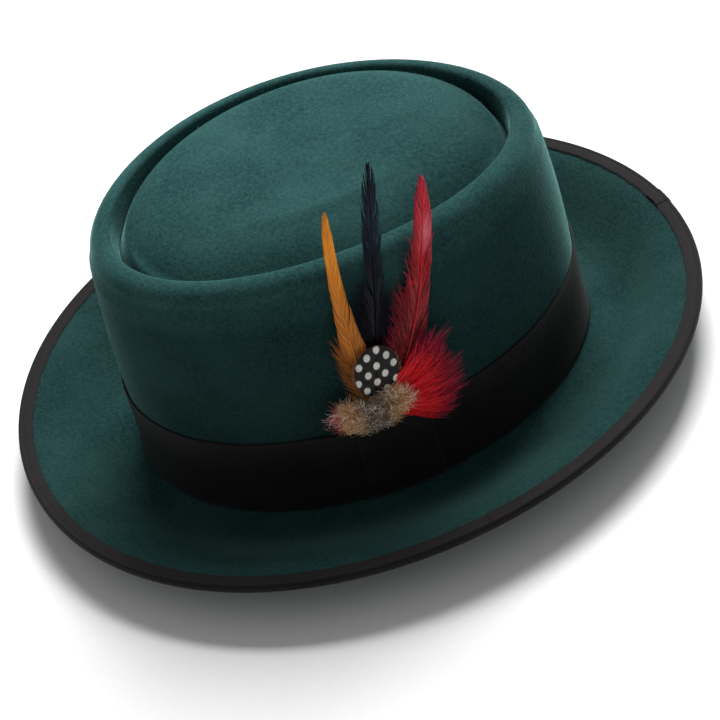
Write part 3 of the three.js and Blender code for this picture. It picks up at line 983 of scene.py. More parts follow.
@dataclass
class FeltBody(SubAssembly):
    """Crown and brim, one shell of blocked felt that is open below."""

    labels = ("felt_shell", "felt", "felt_body")
    stations: int = 300
    wall_rows: int = 30
    inner_rows: int = 18
    brim_rows: int = 24
    edge_rows: int = 7
    roll_rows: int = 12
    lip_rows: int = 7
    groove_rows: int = 7
    middle_rows: int = 11
    middle_least: float = 0.06
    tip_rows: int = 32
    tip_share: float = 0.45
    tip_crowding: float = 1.9
    groove_curve: float = 1.6
    middle_inset: float = 34.0
    unevenness: float = 0.35
    uneven_from: float = 20.0
    uneven_until: float = 90.0
    uneven_fade: float = 50.0

    def top_rings(self, theta: np.ndarray) -> tuple:
        """Rings over the rolled rim, the groove and the tip.

        Args:
            theta: angles round the crown.

        Returns:
            The rings of the outside and those of the inside, from the wall inwards.
        """
        form = self.form
        rim = form.rim_height(theta) - form.crown_height
        flat = np.zeros_like(theta)
        rows = []
        for angle in np.linspace(0, math.pi / 2, self.roll_rows):
            rise = form.roll_radius * (1 - math.sin(angle))
            rows.append((flat + form.roll_radius * (1 - math.cos(angle)), rim - rise))
        lip = form.roll_radius
        for angle in np.linspace(0, math.pi / 2, self.lip_rows + 1)[1:]:
            drop = form.lip_radius * (1 - math.cos(angle))
            rows.append((flat + lip + form.lip_radius * math.sin(angle), rim - drop))
        inner = lip + form.lip_radius
        for share in np.linspace(0, 1, self.groove_rows + 1)[1:]:
            inset = inner + (form.groove_inset - inner) * (1 - (1 - share) ** self.groove_curve)
            deep = form.groove_depth + form.near_sink * form.nearest(theta)
            depth = form.lip_radius + (deep - form.lip_radius) * share
            rows.append((flat + inset, rim - depth))
        reach = form.crown_width / 2 - form.groove_inset
        shares = self.tip_share * np.linspace(0, 1, self.tip_rows + 1)[1:] ** self.tip_crowding
        for share in shares:
            height = form.tip_height(theta, share * reach, 1 - share)
            rows.append((flat + form.groove_inset + share * reach, height))
        inset = np.array([row[0] for row in rows])
        height = np.array([row[1] for row in rows])
        height += self.waver(theta, inset)
        step = unit(stacked(np.gradient(inset, axis=0), np.gradient(height, axis=0)))
        step[0] = (0, 1)
        outside = self.place(theta, inset, height)
        under_height = height - step[..., 0] * form.felt
        inside = self.place(theta, inset + step[..., 1] * form.felt, under_height)
        for rings, drop in ((outside, 0.0), (inside, form.felt)):
            last = rings[-1]
            middle = np.array([0, form.crown_oval(form.crown_height)[2], 0])
            for share in np.linspace(1, self.middle_least, self.middle_rows + 1)[1:]:
                ring = middle + (last - middle) * share
                low = form.tip_height(theta, form.crown_width, (1 - shares[-1]) * share, 0)
                ring[:, 2] = form.felt + form.crown_height + low - drop
                ring[:, 2] += self.waver(theta, self.middle_inset + (1 - share) * self.uneven_fade)
                rings.append(ring)
        return outside, inside

    def waver(self, theta: np.ndarray, inset: Values) -> np.ndarray:
        """Slight unevenness of the tip, as hand blocking leaves it.

        Args:
            theta: angles round the crown.
            inset: distance in from the wall.

        Returns:
            Heights in millimetres.
        """
        rise = np.clip((inset - self.form.groove_inset) / self.uneven_from, 0, 1)
        wave = np.sin(3 * theta + 0.4 + inset * 0.04) + 0.6 * np.cos(5 * theta + 1.7)
        fall = np.clip((self.uneven_until - inset) / self.uneven_fade, 0, 1)
        return self.unevenness * rise * wave * fall

    def place(self, theta: np.ndarray, inset: np.ndarray, height: np.ndarray) -> list:
        """Puts the top's section round the crown, and returns its rings."""
        top = self.form.crown_height
        return [self.form.crown_point(theta, top, -i, top + h) for i, h in zip(inset, height)]

    def wall_rings(self, theta: np.ndarray, out: float, rows: int) -> list:
        """Rings up the wall, from its foot to where the rim starts to roll.

        Args:
            theta: angles round the crown.
            out: distance out from the wall.
            rows: the number of rings, a third of them behind the band.

        Returns:
            The rings.
        """
        form = self.form
        rings = [
            form.crown_point(theta, height, out)
            for height in np.linspace(form.band_lift, form.band_height, rows // 3)
        ]
        top = form.rim_height(theta) - form.roll_radius
        above = form.crown_height - form.roll_radius - form.band_height
        for share in np.linspace(0, 1, rows - rows // 3 + 1)[1:-1]:
            height = form.band_height + above * share
            rise = form.band_height + (top - form.band_height) * share
            rings.append(form.crown_point(theta, height, out, rise))
        return rings

    def skin(self) -> Skin:
        """The shell's skin.

        Returns:
            Rings from the middle of the tip's outside to that of its inside, joined.
        """
        form = self.form
        theta = np.arange(self.stations) * TURN / self.stations
        outside, inside = self.top_rings(theta)
        rings = outside[::-1] + self.wall_rings(theta, 0, self.wall_rows)[::-1]
        rings.append(form.crown_point(theta, 0.0, form.foot_rounding))
        shares = np.linspace(0, 1, self.brim_rows)
        rings += [form.brim_ring(theta, share, Face.UPPER) for share in shares]
        edge = form.binding_thickness + form.gap
        for angle in np.linspace(0, math.pi, self.edge_rows):
            inset = edge * (2 - math.sin(angle))
            rings.append(form.edge_point(theta, inset, -form.felt * (1 - math.cos(angle)) / 2))
        rings += [form.brim_ring(theta, share, Face.LOWER) for share in shares[::-1]]
        rings.append(form.crown_point(theta, 0.0, 0.0, -form.felt))
        rings.append(form.crown_point(theta, 0.0, -form.felt * 0.75, -form.felt * 0.6))
        rings += self.wall_rings(theta, -form.felt, self.inner_rows) + inside
        return ring_skin(rings, closed=False)


@dataclass
class FeltNap(SubAssembly):
    """Single wool fibres that stand off the crown and soften its outline.

    They are drawn thicker and fewer than real wool, so that they show, and stand for no node.
    """

    labels = ("felt_nap", "felt")
    body: FeltBody
    count: int = 13000
    length: tuple = (0.7, 1.7)
    width: float = 0.09
    taper: tuple = (1, 0.8, 0.25)
    rise: tuple = (0.15, 0.75)
    root: float = 0.08
    seed: int = 5

    def skin(self) -> Skin:
        """The nap's skin.

        Returns:
            The fibres, each a closed thread.
        """
        rng, body = np.random.default_rng(self.seed), self.body
        theta = np.arange(body.stations) * TURN / body.stations
        top = body.top_rings(theta)[0][: -body.middle_rows]
        wall = body.wall_rings(theta, 0, body.wall_rows)[body.wall_rows // 3 :]
        grid = np.array(top[::-1] + wall[::-1])
        a, b = grid[:-1], np.roll(grid[:-1], -1, axis=1)
        c = grid[1:]
        normal = np.cross(b - a, c - a)
        area = np.linalg.norm(normal, axis=-1)
        normal /= np.maximum(area, 1e-9)[..., None]
        normal *= np.sign((normal * (a - [0, 0, 60])).sum(-1, keepdims=True).mean())
        pick = rng.choice(area.size, self.count, p=(area / area.sum()).ravel())
        u, v = rng.random((2, self.count, 1))
        base = a.reshape(-1, 3)[pick]
        base = base + (b - a).reshape(-1, 3)[pick] * u + (c - a).reshape(-1, 3)[pick] * v
        out = normal.reshape(-1, 3)[pick]
        lie = rng.normal(0, 1, (self.count, 3))
        lie -= out * (lie * out).sum(-1, keepdims=True)
        lie = unit(lie)
        side = np.cross(out, lie)
        reach = rng.uniform(*self.length, (self.count, 1))
        rise = rng.uniform(*self.rise, (self.count, 1)) * reach
        steps = [
            base - out * self.root,
            base + lie * reach * 0.5 + out * rise * 0.7,
            base + (lie + side * rng.normal(0, 0.4, (self.count, 1))) * reach * 0.9 + out * rise,
        ]
        rings = []
        for step, width in zip(steps, self.taper):
            half = width * self.width / 2
            rings += [step + side * half, step - side * half, step + out * half]
        return thread_skin(np.stack(rings, 1).reshape(self.count, len(steps), 3, 3))


@dataclass
class BrimBinding:
    """Ribbon folded over the brim's edge, its ends lapped at the back."""

    form: HatForm
    stations: int = 540
    ripple: float = 0.14
    creases: tuple = (0.2, 0.5, 1.4, 2.6, 3.8, 4.8)
    edge_press: float = 0.72
    bend_press: float = 0.86
    end_span: float = 0.012
    end_fade: float = 0.006
    row_mm: float = 0.9

    def angles(self) -> np.ndarray:
        """Angles round the brim, closer together at the lap's ends.

        Returns:
            The angles, from the least to the greatest.
        """
        half = self.form.lap_length / 2 / self.form.edge_semi_x
        steps = np.linspace(-self.end_span, self.end_span, 9)
        ends = [self.form.lap_angle + side * half + steps for side in (-1, 1)]
        even = np.arange(self.stations) * TURN / self.stations
        near = np.abs(np.abs(even - self.form.lap_angle) - half) < self.end_span + 0.002
        return np.sort(np.concatenate([even[~near], *ends]))

    def build(self, finish: WovenRibbon) -> bpy.types.Object:
        """Builds the binding.

        Args:
            finish: its ribbon.

        Returns:
            The Blender object.
        """
        form = self.form
        theta = self.angles()
        half = form.lap_length / 2 / form.edge_semi_x
        away = half - np.abs(theta - form.lap_angle)
        step = form.lap_step * np.clip(away / self.end_fade + 0.5, 0, 1)
        middle = -form.felt / 2
        rings, across = [], []
        for thickness, order in ((form.binding_thickness, 1), (0.0, -1)):
            rise = form.felt / 2 + form.gap + thickness
            nose = form.binding_curl - form.binding_thickness + thickness
            leg = [form.binding_width - crease for crease in (0.0, *self.creases)]
            section = [(inset, 1.0) for inset in leg]
            for angle in np.linspace(0, math.pi, 13):
                section.append((form.binding_curl - nose * math.sin(angle), math.cos(angle)))
            section += [(inset, -1.0) for inset in leg[::-1]]
            for i, (inset, level) in list(enumerate(section))[::order]:
                edge = i in (0, len(section) - 1)
                soft = self.edge_press if edge and thickness else 1.0
                if thickness and abs(inset - leg[-1]) < 0.01:
                    soft = self.bend_press
                raised = step * (thickness > 0)
                lift = middle + rise * level * soft + raised * level
                wave = self.ripple * (np.sin(61 * theta) + 0.6 * np.sin(143 * theta + 1.1))
                place = inset + wave * (inset > form.binding_width - 1) - raised * (1 - abs(level))
                rings.append(form.edge_point(theta, place, lift))
                across.append(i * self.row_mm)
        length = theta * (form.edge_semi_x + form.edge_semi_y) / 2
        uv = np.concatenate([stacked(length, a) for a in across])
        skin = ring_skin(rings, closed=True, uvs={"ribbon": uv})
        thing = skin.piece("binding_ribbon", finish, "binding_ribbon", "brim_binding")
        face = np.array(rings[: len(rings) // 2])
        width = float(np.linalg.norm(np.diff(face, axis=0), axis=-1).mean(1).sum())
        lay_ribbon(thing, width, perimeter(face[len(face) // 2]))
        return thing


@dataclass
class RibbonBand:
    """Wide ribbon round the crown's foot, with a flat tab over its join."""

    form: HatForm
    stations: int = 360
    ease: float = 0.14
    selvage: float = 0.25
    crease_height: float = 0.22
    crease_width: float = 2.2
    crease_place: float = 16.0

    def surface(self, theta: Values, height: Values, out: Values) -> np.ndarray:
        """Points on the ribbon, eased in slow waves as a sewn ribbon lies.

        Args:
            theta: angles round the crown.
            height: height on the band.
            out: distance out from the wall.

        Returns:
            Points in millimetres.
        """
        form = self.form
        wave = np.sin(7 * theta + 0.9) * np.sin(height * 0.09) + 0.5 * np.sin(17 * theta + 2)
        bulge = form.band_bulge(theta, height)
        return form.crown_point(theta, height, out + bulge + self.ease * (1 + wave) / 2)

    def build_band(self, finish: WovenRibbon) -> bpy.types.Object:
        """Builds the band.

        Args:
            finish: its ribbon.

        Returns:
            The Blender object.
        """
        form = self.form
        theta = np.arange(self.stations) * TURN / self.stations
        heights = np.linspace(form.band_lift, form.band_height, 16)
        full = form.band_thickness
        outer = [(h, full) for h in heights[1:-1]]
        low, high = heights[0], heights[-1]
        section = [(low, 0.0), (low, full * 0.6), (low + self.selvage, full), *outer]
        section += [(high - self.selvage, full), (high, full * 0.6), (high, 0.0)]
        section += [(h, 0.0) for h in heights[::-1][1:-1]]
        rings = [self.surface(theta, height, form.gap + out) for height, out in section]
        length = theta * (form.foot_semi_y + form.crown_width / 2) / 2
        uv = np.concatenate([stacked(length, h) for h, _ in section])
        skin = ring_skin(rings, closed=True, uvs={"ribbon": uv})
        thing = skin.piece("band_of_ribbon", finish, "band_ribbon", "hat_band")
        length = perimeter(rings[len(heights) // 2])
        lay_ribbon(thing, high - low, length)
        return thing

    def build_tab(self, finish: WovenRibbon) -> bpy.types.Object:
        """Builds the tab.

        Args:
            finish: its ribbon.

        Returns:
            The Blender object.
        """
        form = self.form
        edge, rise = np.linspace(0, 1, 34), np.linspace(0, 1, 22)
        across = form.tab_centre + form.tab_width * (edge - 0.5)
        height = form.band_lift + (form.band_height - form.band_lift) * rise
        grid_across, grid_height = np.meshgrid(across, height)
        theta = form.trim_theta(grid_across)
        under = form.gap * 2 + form.band_thickness
        fold = (grid_across - form.tab_centre) * 0.5 + self.crease_place - grid_height
        crease = self.crease_height * np.exp(-((fold / self.crease_width) ** 2))
        border = np.minimum(edge, 1 - edge)[None, :] * form.tab_width
        border = np.minimum(border, np.minimum(rise, 1 - rise)[:, None] * form.band_height)
        soft = form.tab_thickness * (0.55 + 0.45 * np.clip(border / 0.5, 0, 1))
        back = self.surface(theta, grid_height, under)
        front = self.surface(theta, grid_height, under + soft + crease)
        uv = stacked(grid_height, grid_across).reshape(-1, 2)
        skin = plate_skin(front, back, {"ribbon": uv})
        thing = skin.piece("tab_of_ribbon", finish, "band_ribbon", "band_tab")
        length = form.band_height - form.band_lift
        lay_ribbon(thing, form.tab_width, length)
        return thing

    def build_tongue(self, finish: WovenRibbon) -> bpy.types.Object:
        """Builds the stiffened tongue behind the feathers.

        Args:
            finish: its ribbon.

        Returns:
            The Blender object.
        """
        form = self.form
        across = form.tongue_centre + form.tongue_width * np.linspace(-0.5, 0.5, 17)
        low, high = form.band_height - form.tongue_below, form.band_height + form.tongue_above
        height = np.linspace(low, high, 25)
        grid_across, grid_height = np.meshgrid(across, height)
        theta = form.trim_theta(grid_across)
        border = np.minimum(grid_across - across[0], across[-1] - grid_across)
        border = np.minimum(border, np.minimum(grid_height - low, high - grid_height))
        soft = form.tongue_thickness * (0.5 + 0.5 * np.clip(border / 0.8, 0, 1))
        back = form.crown_point(theta, grid_height, form.gap)
        front = form.crown_point(theta, grid_height, form.gap + soft)
        uv = stacked(grid_across, grid_height).reshape(-1, 2)
        skin = plate_skin(front, back, {"ribbon": uv})
        return skin.piece("backing_tongue", finish, "backing", "feather_tongue")


# ---- Feathers


@dataclass
class Layers:
    """Distances out from the crown's wall at which the feathers lie."""

    form: HatForm
    blade: float = 0.9
    hackle: float = 1.2
    spot: float = 0.8

    @property
    def black(self) -> float:
        """Back of the black feather."""
        return self.form.gap * 2 + self.form.tongue_thickness

    @property
    def sides(self) -> float:
        """Back of the red and the amber feather."""
        return self.black + self.blade + self.form.gap

    @property
    def fan(self) -> float:
        """Back of the hackle fan."""
        return self.sides + self.blade + self.form.gap * 2

    @property
    def disc(self) -> float:
        """Back of the spotted feather."""
        return self.fan + self.hackle + self.form.gap

    @property
    def tuft(self) -> float:
        """Back of the down."""
        return self.disc + self.spot + self.form.gap


@dataclass
class Plume(SubAssembly):
    """Tall slim feather: a shaft, a vane of barbs in locks, and loose down at its foot.

    Places, widths and reaches are shares of the tallest feather's height.
    """

    labels: tuple
    back: float
    foot: tuple
    tip: tuple
    bow: float
    width: float
    rows: tuple
    seed: int
    vane_from: float = 0.3
    barbs: int = 330
    slant: tuple = (0.15, 0.09)
    shaft_width: tuple = (1.0, 0.25)
    down: tuple = ()
    loose: tuple = ()
    parting: float = 0.5
    lock_chance: float = 0.085
    barb_width: float = 0.52
    down_width: float = 0.3
    height: float = 112.4

    def spine(self, share: np.ndarray) -> np.ndarray:
        """Places across and up the wall, at shares along the shaft."""
        band = np.array([0, self.form.band_height])
        start, end = (band + np.array(end) * self.height for end in (self.foot, self.tip))
        bowed = self.bow * self.height * 4 * share * (1 - share)
        return start + (end - start) * share[..., None] + self.side() * bowed[..., None]

    def side(self) -> np.ndarray:
        """Direction square to the shaft, towards the back."""
        run = np.array([self.tip[0] - self.foot[0], self.tip[1] - self.foot[1]])
        run /= np.linalg.norm(run)
        return np.array([run[1], -run[0]])

    def half_width(self, share: np.ndarray, side: Side) -> np.ndarray:
        """Half-width of the vane.

        Args:
            share: shares of the way up.
            side: the side of the shaft.

        Returns:
            Widths in millimetres.
        """
        places = [row[0] for row in self.rows] + [1.0]
        column = 1 if side is Side.FRONT else 2
        values = [row[column] for row in self.rows] + [0.0]
        return np.interp(share, places, values) * self.width * self.height

    def lay(self, along: np.ndarray, lateral: np.ndarray, out: np.ndarray) -> np.ndarray:
        """Puts barbs at a share along the shaft, a distance beside it and out from the wall."""
        flat = self.spine(along) + self.side() * lateral[..., None]
        return np.concatenate([flat, out[..., None]], -1)

    def vane(self, rng: np.random.Generator, side: Side) -> Strands:
        """Barbs of one side of the vane, drawn together in locks.

        Args:
            rng: the feather's own source of chance.
            side: the side of the shaft.

        Returns:
            The barbs.
        """
        count, steps = self.barbs, 7
        roots = np.linspace(self.vane_from, 0.97, count)
        slant = self.slant[0] + (self.slant[1] - self.slant[0]) * roots
        ends = np.minimum(roots + slant * rng.uniform(0.9, 1.1, count), 0.99)
        lock = np.cumsum(rng.random(count) < self.lock_chance)
        for label in range(lock.max() + 1):
            members = lock == label
            if members.any():
                ends[members] += (ends[members].mean() - ends[members]) * self.parting
        reach = 0.94 + 0.12 * rng.random(lock.max() + 1)
        half = self.half_width(ends, side) * reach[lock]
        t = np.linspace(0, 1, steps)[None, :]
        along = roots[:, None] + (ends - roots)[:, None] * t
        lateral = side.value * half[:, None] * (1 - (1 - t) ** 1.7)
        lateral = lateral + rng.normal(0, 0.06, (count, 1)) * t
        camber = 0.35 * np.sin(t * math.pi * 0.8) - 0.25 * t
        out = self.back + 0.45 + camber + rng.uniform(-0.12, 0.12, (count, 1)) * t
        narrow = np.clip((1 - roots) * 14, 0.35, 1)[:, None]
        widths = self.barb_width * (1 - 0.72 * t**2) * narrow
        vane = self.vane_place(along, lateral)
        return Strands(self.lay(along, lateral, out), widths, rng.random(count), vane, 0.22)

    def vane_place(self, along: np.ndarray, lateral: np.ndarray) -> np.ndarray:
        """Where barbs are on the feather, as shares across and up."""
        across = 0.5 + lateral / (self.width * self.height)
        return stacked(across, along)

    def downy(
        self, rng: np.random.Generator, low: float, high: float, far: float, count: int, side: Side
    ) -> Strands:
        """Soft threads from the lower shaft, which curl away from it.

        Args:
            rng: the feather's own source of chance.
            low: share along the shaft where they start.
            high: share where they stop.
            far: how far they reach sideways.
            count: how many.
            side: the side of the shaft.

        Returns:
            The threads.
        """
        steps = 8
        roots = rng.uniform(low, high, count)
        reach = far * rng.uniform(0.35, 1.0, count)
        rise = rng.uniform(0.05, 0.2, count)
        t = np.linspace(0, 1, steps)[None, :]
        along = roots[:, None] + rise[:, None] * t ** rng.uniform(0.9, 1.6, (count, 1))
        curl = rng.uniform(0.7, 1.5, (count, 1))
        lateral = side.value * reach[:, None] * t**curl
        lateral = lateral + 0.35 * np.sin(t * 6 + rng.uniform(0, 6, (count, 1))) * t
        out = self.back + 0.3 + rng.uniform(0, 1.2, (count, 1)) * t
        widths = self.down_width * (1 - 0.75 * t)
        vane = self.vane_place(along, lateral)
        return Strands(self.lay(along, lateral, out), widths, rng.random(count), vane, 0.4)

    def shaft(self) -> Strands:
        """The feather's shaft, thinning upwards.

        Returns:
            The shaft, as one thread.
        """
        t = np.linspace(0, 0.985, 40)[None, :]
        out = self.back + 0.75 + 0 * t
        start, end = self.shaft_width
        widths = start + (end - start) * t
        vane = stacked(0.5, t)
        return Strands(self.lay(t, 0 * t, out), widths, np.array([0.95]), vane, 0.5)

    def skin(self) -> Skin:
        """The feather's skin.

        Returns:
            Its shaft, its vane and its loose threads, joined.
        """
        rng = np.random.default_rng(self.seed)
        bundles = [self.shaft(), self.vane(rng, Side.FRONT), self.vane(rng, Side.BACK)]
        bundles += [self.downy(rng, *lot) for lot in (*self.down, *self.loose)]
        return joined(*(bundle.skin(self.form) for bundle in bundles))


@dataclass
class HackleFan(SubAssembly):
    """Brush of soft barbs that spread to the back from one root."""

    labels = ("hackle_brush", "hackle", "red_hackle")
    layers: Layers
    across: float = 14.0
    up: float = 10.6
    fan: tuple = (-40.0, 52.0)
    reach: float = 29.0
    count: int = 1500
    tufts: int = 22
    ray_length: float = 26.0
    ray_angle: float = math.radians(24)
    barb_width: float = 0.46
    ray_width: float = 0.42
    seed: int = 31

    def skin(self) -> Skin:
        """The fan's skin.

        Returns:
            The fan and the barbs that stand out above it, joined.
        """
        rng = np.random.default_rng(self.seed)
        count, steps = self.count, 11
        tuft = rng.integers(0, self.tufts, count)
        middle = (np.arange(self.tufts) + rng.uniform(0.2, 0.8, self.tufts)) / self.tufts
        share = np.clip(middle[tuft] + rng.normal(0, 0.022, count), 0, 1)
        angle = np.radians(self.fan[0] + (self.fan[1] - self.fan[0]) * share)
        longest = 0.94 + 0.2 * middle - 0.2 * rng.random(self.tufts)
        reach = self.reach * longest[tuft] * (1 - 0.34 * rng.random(count) ** 1.6)
        t = np.linspace(0, 1, steps)[None, :]
        wave = rng.uniform(0, TURN, self.tufts)[tuft, None] + t * rng.uniform(4, 7, (count, 1))
        bend = (rng.normal(0.12, 0.16, self.tufts)[tuft] + rng.normal(0, 0.05, count))[:, None]
        turn = angle[:, None] + bend * (t - 0.4)
        start_x = self.across + rng.normal(0, 1.8, (count, 1))
        start_y = self.form.band_height + self.up + (middle[tuft, None] - 0.4) * 9
        start_y = start_y + rng.normal(0, 1.3, (count, 1))
        sway = 0.55 * np.sin(wave) * t
        x = start_x + reach[:, None] * t * np.cos(turn) - sway * np.sin(turn)
        y = start_y + reach[:, None] * t * np.sin(turn) * 0.86 + sway * np.cos(turn)
        level = rng.uniform(0.4, 2.6, self.tufts)[tuft, None] + rng.normal(0, 0.35, (count, 1))
        out = self.layers.fan + 0.3 + np.maximum(0.1, level) * np.sin(t * math.pi * 0.62)
        widths = self.barb_width * (1 - 0.8 * t)
        vane = stacked(share[:, None], t)
        fan = Strands(stacked(x, y, out), widths, rng.random(count), vane, 0.4).skin(self.form)
        return joined(fan, self.ray(rng).skin(self.form))

    def ray(self, rng: np.random.Generator) -> Strands:
        """A few longer barbs that stand out above the fan, as the photograph shows.

        Args:
            rng: the fan's own source of chance.

        Returns:
            The barbs.
        """
        count, steps = 14, 9
        t = np.linspace(0, 1, steps)[None, :]
        start = rng.normal(0, 0.5, (2, count, 1))
        reach = self.ray_length * rng.uniform(0.7, 1.0, (count, 1))
        turn = self.ray_angle + rng.normal(0, 0.035, (count, 1))
        x = self.across + 6 + start[0] + reach * t * np.cos(turn)
        y = self.form.band_height + self.up + 12 + start[1] + reach * t * np.sin(turn)
        out = self.layers.fan + 1.4 + 0 * t * turn
        widths = self.ray_width * (1 - 0.75 * t)
        vane = stacked(0.5 + 0 * turn, 0.72 + 0.24 * t)
        return Strands(stacked(x, y, out), widths, rng.random(count), vane, 0.4)


@dataclass
class SpottedFeather(SubAssembly):
    """Small rounded feather, dished, with barbs laid both ways from its shaft."""

    labels = ("spotted_barbs", "spotted_plume", "spotted_feather")
    layers: Layers
    across: float = 9.2
    up: float = 27.8
    length: float = 23.0
    width: float = 17.5
    tilt: float = math.radians(12)
    dish: float = 0.5
    barb_width: float = 0.42
    fringe_width: float = 0.2
    seed: int = 47

    def to_wall(self, x: np.ndarray, y: np.ndarray) -> tuple:
        """Turns places on the feather into places on the wall.

        Args:
            x: distance across the feather from its middle.
            y: distance up the feather from its middle.

        Returns:
            Distance across the wall, and height.
        """
        cos, sin = math.cos(self.tilt), math.sin(self.tilt)
        across = self.across + x * cos + y * sin
        return across, self.form.band_height + self.up - x * sin + y * cos

    def place(self, x: np.ndarray, y: np.ndarray) -> np.ndarray:
        """Shares across and up the feather."""
        return stacked(x / self.width + 0.5, y / self.length + 0.5)

    def plate(self) -> Skin:
        """Thin dished plate under the barbs.

        Returns:
            The plate's skin.
        """
        rings, count = 12, 64
        turn = np.arange(count) * TURN / count
        rows, places = [], []
        for face, shares in ((1, np.linspace(0.04, 1, rings)), (0, np.linspace(1, 0.04, rings))):
            for share in shares:
                x = self.width / 2 * share * np.cos(turn)
                y = self.length / 2 * share * np.sin(turn)
                across, height = self.to_wall(x, y)
                out = self.layers.disc + face * 0.3 + self.dish * (1 - share**2)
                rows.append(self.form.trim_point(across, height, out))
                places.append(self.place(x, y))
        vane = np.concatenate([*places, [[0.5, 0.5]], [[0.5, 0.5]]])
        skin = ring_skin(rows, closed=False)
        skin.uvs = {"barb": np.full((len(skin.points), 2), 0.6), "vane": vane}
        return skin

    def barbs(self, rng: np.random.Generator, side: Side, fringe: bool) -> Strands:
        """Barbs of one side, or the loose fringe past the feather's edge.

        Args:
            rng: the feather's own source of chance.
            side: the side of the shaft.
            fringe: whether it is the fringe.

        Returns:
            The barbs.
        """
        count, steps = (60 if fringe else 190), 8
        roots = rng.uniform(0.15, 1, count) if fringe else np.linspace(0, 1, count)
        base = (roots - 0.5) * self.length * 0.94
        end = np.clip(base + 3.6 + 0.8 * rng.random(count), -self.length / 2, self.length / 2)
        half = self.width / 2 * np.sqrt(np.maximum(0.02, 1 - (2 * end / self.length) ** 2))
        half = half * rng.uniform(0.97, 1.03, count) * (1.13 if fringe else 1.0)
        t = np.linspace(0, 1, steps)[None, :]
        x = side.value * half[:, None] * (1 - (1 - t) ** 1.4)
        y = base[:, None] + (end - base)[:, None] * t
        across, height = self.to_wall(x, y)
        share = (2 * x / self.width) ** 2 + (2 * y / self.length) ** 2
        out = self.layers.disc + 0.32 + self.dish * (1 - np.minimum(share, 1.2)) - 0.1 * fringe
        widths = (self.fringe_width if fringe else self.barb_width) * (1 - 0.5 * t**2)
        paths = stacked(across, height, out)
        return Strands(paths, widths, rng.random(count), self.place(x, y), 0.25)

    def skin(self) -> Skin:
        """The feather's skin.

        Returns:
            Its plate and its barbs, joined.
        """
        rng = np.random.default_rng(self.seed)
        lots = [self.barbs(rng, side, fringe) for side in Side for fringe in (False, True)]
        return joined(self.plate(), *(lot.skin(self.form) for lot in lots))


@dataclass
class DownTuft(SubAssembly):
    """Fluff of fine curling threads over the feathers' feet."""

    labels = ("down_fluff", "down", "down_tuft")
    layers: Layers
    across: float = 3.5
    up: float = 11.0
    width: float = 33.0
    count: int = 3500
    clumps: tuple = (
        (-8.2, 2.6, 6.4, 0.24),
        (-4.0, -2.6, 6.0, 0.18),
        (1.5, -2.0, 6.8, 0.3),
        (8.2, 2.6, 6.4, 0.28),
    )
    flat: float = 0.8
    thread_width: float = 0.22
    foot: float = 7.6
    foot_draw: tuple = (0.62, 4.6)
    seed: int = 59

    def skin(self) -> Skin:
        """The fluff's skin.

        Returns:
            The threads.
        """
        rng = np.random.default_rng(self.seed)
        count, steps = self.count, 9
        turn = rng.uniform(0, TURN, count)
        pick = rng.choice(len(self.clumps), count, p=[clump[3] for clump in self.clumps])
        middle_x, middle_y, radius = np.array([clump[:3] for clump in self.clumps])[pick].T
        start = rng.uniform(0, 0.7, count) * radius
        x0 = self.across + middle_x + np.cos(turn) * start
        y0 = self.form.band_height + self.up + middle_y + np.sin(turn) * start * self.flat
        aim = turn + rng.normal(0, 0.45, count)
        reach = rng.uniform(0.45, 1.35, count) * radius
        t = np.linspace(0, 1, steps)[None, :]
        curl = rng.normal(0, 0.6, (count, 1))
        heading = aim[:, None] + curl * t
        x = x0[:, None] + reach[:, None] * t * np.cos(heading)
        y = y0[:, None] + reach[:, None] * t * np.sin(heading) * self.flat
        wiggle = 0.25 * np.sin(t * 9 + rng.uniform(0, 6, (count, 1)))
        floor = self.form.band_height + 0.5
        y = np.where(y < floor, floor + (floor - y) * 0.12, y + wiggle)
        lift = rng.uniform(0.3, 4.2, (count, 1)) * np.sin(t * math.pi * 0.7)
        slope, most = self.foot_draw
        draw_in = np.maximum(0, self.form.band_height + self.foot - y) * slope
        out = self.layers.tuft + lift - np.minimum(draw_in, most) * (1 - 0.4 * t)
        widths = self.thread_width * (1 - 0.7 * t) * rng.uniform(0.7, 1.3, (count, 1))
        vane = stacked(t, np.clip((x - self.across) / self.width + 0.5, 0, 1))
        threads = Strands(stacked(x, y, out), widths, rng.random(count), vane, 0.5)
        return threads.skin(self.form)


# ---- Studio


